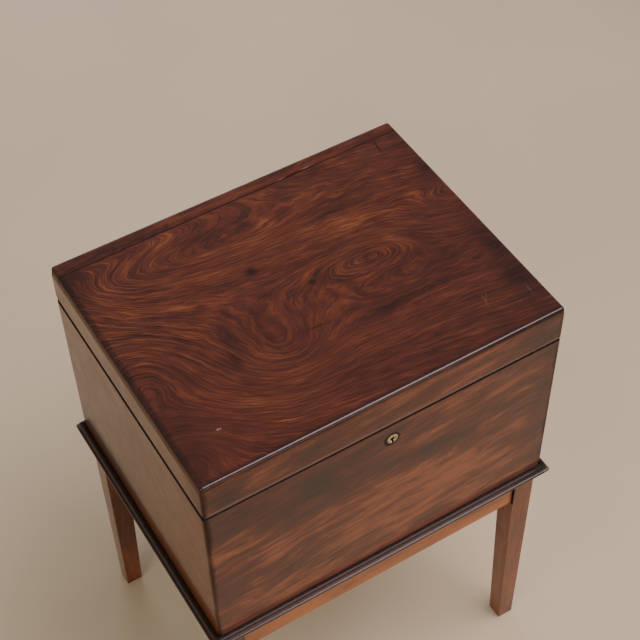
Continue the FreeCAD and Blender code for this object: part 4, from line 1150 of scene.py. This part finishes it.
def lamp(name, place, target, size, power, colour):
    """A soft rectangular lamp that looks at a point; the size is its width and height."""
    light = bpy.data.lights.new(name, "AREA")
    light.shape = "RECTANGLE"
    light.size, light.size_y = size
    light.energy = power
    light.color = colour
    made = bpy.data.objects.new(name, light)
    bpy.context.scene.collection.objects.link(made)
    made.location = place
    made.rotation_euler = (Vector(target) - Vector(place)).to_track_quat("-Z", "Y").to_euler()


class CELLARETTE_OT_stage(bpy.types.Operator):
    """Make the floor, the lamps, the surroundings and the camera"""

    bl_idname = "cellarette.stage"
    bl_label = "Stage"

    def execute(self, context):
        make_materials(context)
        scene = context.scene
        reach = scene.cellarette_sizes.floor_reach
        work = bmesh.new()
        bmesh.ops.create_grid(work, x_segments=1, y_segments=1, size=reach)
        mesh = bpy.data.meshes.new("floor")
        work.to_mesh(mesh)
        work.free()
        floor = bpy.data.objects.new("floor", mesh)
        scene.collection.objects.link(floor)
        floor.data.materials.append(MATERIALS["floor"])

        world = bpy.data.worlds.new("soft room")
        world.use_nodes = True
        background = world.node_tree.nodes["Background"]
        background.inputs["Color"].default_value = (*linear("E6E2DC"), 1.0)
        background.inputs["Strength"].default_value = 0.30
        scene.world = world
        middle = (0.0, 0.0, 0.55)
        lamp("ceiling lamp", (0.9, -0.7, 3.1), middle, (1.8, 1.8), 75.0, linear("FFF0F6"))
        lamp("front window", (0.2, -2.9, 1.1), middle, (2.2, 1.3), 13.0, linear("FFF4EC"))
        lamp("side window", (-2.6, -1.1, 1.9), middle, (1.6, 1.6), 22.0, linear("FFEEDC"))
        lamp("back window", (0.5, 2.5, 1.5), (0.4, 1.0, 0.0), (1.6, 1.0), 15.0, linear("F2F2FF"))

        camera = bpy.data.cameras.new("camera")
        camera.lens = CAMERA_LENS
        camera.sensor_width = 36.0
        camera.clip_start = 0.05
        made = bpy.data.objects.new("camera", camera)
        scene.collection.objects.link(made)
        turn = Matrix((CAMERA_RIGHT, -CAMERA_DOWN, -CAMERA_AHEAD)).transposed().to_4x4()
        made.matrix_world = Matrix.Translation(CAMERA_PLACE) @ turn
        scene.camera = made
        return {"FINISHED"}


class CELLARETTE_PT_panel(bpy.types.Panel):
    """The pieces of the cellarette"""

    bl_label = "Cellarette"
    bl_idname = "CELLARETTE_PT_panel"
    bl_space_type = "VIEW_3D"
    bl_region_type = "UI"
    bl_category = "Cellarette"

    def draw(self, context):
        for group in (context.scene.cellarette_sizes, context.scene.cellarette_colours):
            box = self.layout.box()
            for name in group.bl_rna.properties.keys():
                if name not in ("rna_type", "name"):
                    box.prop(group, name)
        for operator in OPERATORS:
            self.layout.operator(operator.bl_idname)


OPERATORS = (
    CELLARETTE_OT_lid_top,
    CELLARETTE_OT_walls,
    CELLARETTE_OT_inside,
    CELLARETTE_OT_stand,
    CELLARETTE_OT_fittings,
    CELLARETTE_OT_screws,
    CELLARETTE_OT_stage,
)
CLASSES = (CellaretteSizes, CellaretteColours, *OPERATORS, CELLARETTE_PT_panel)


def register():
    for cls in CLASSES:
        bpy.utils.register_class(cls)
    bpy.types.Scene.cellarette_sizes = PointerProperty(type=CellaretteSizes)
    bpy.types.Scene.cellarette_colours = PointerProperty(type=CellaretteColours)


def unregister():
    del bpy.types.Scene.cellarette_colours
    del bpy.types.Scene.cellarette_sizes
    for cls in reversed(CLASSES):
        bpy.utils.unregister_class(cls)


def main():
    """Makes everything in order."""
    register()
    for operator in OPERATORS:
        group, name = operator.bl_idname.split(".")
        getattr(getattr(bpy.ops, group), name)()


if __name__ == "__main__":
    main()
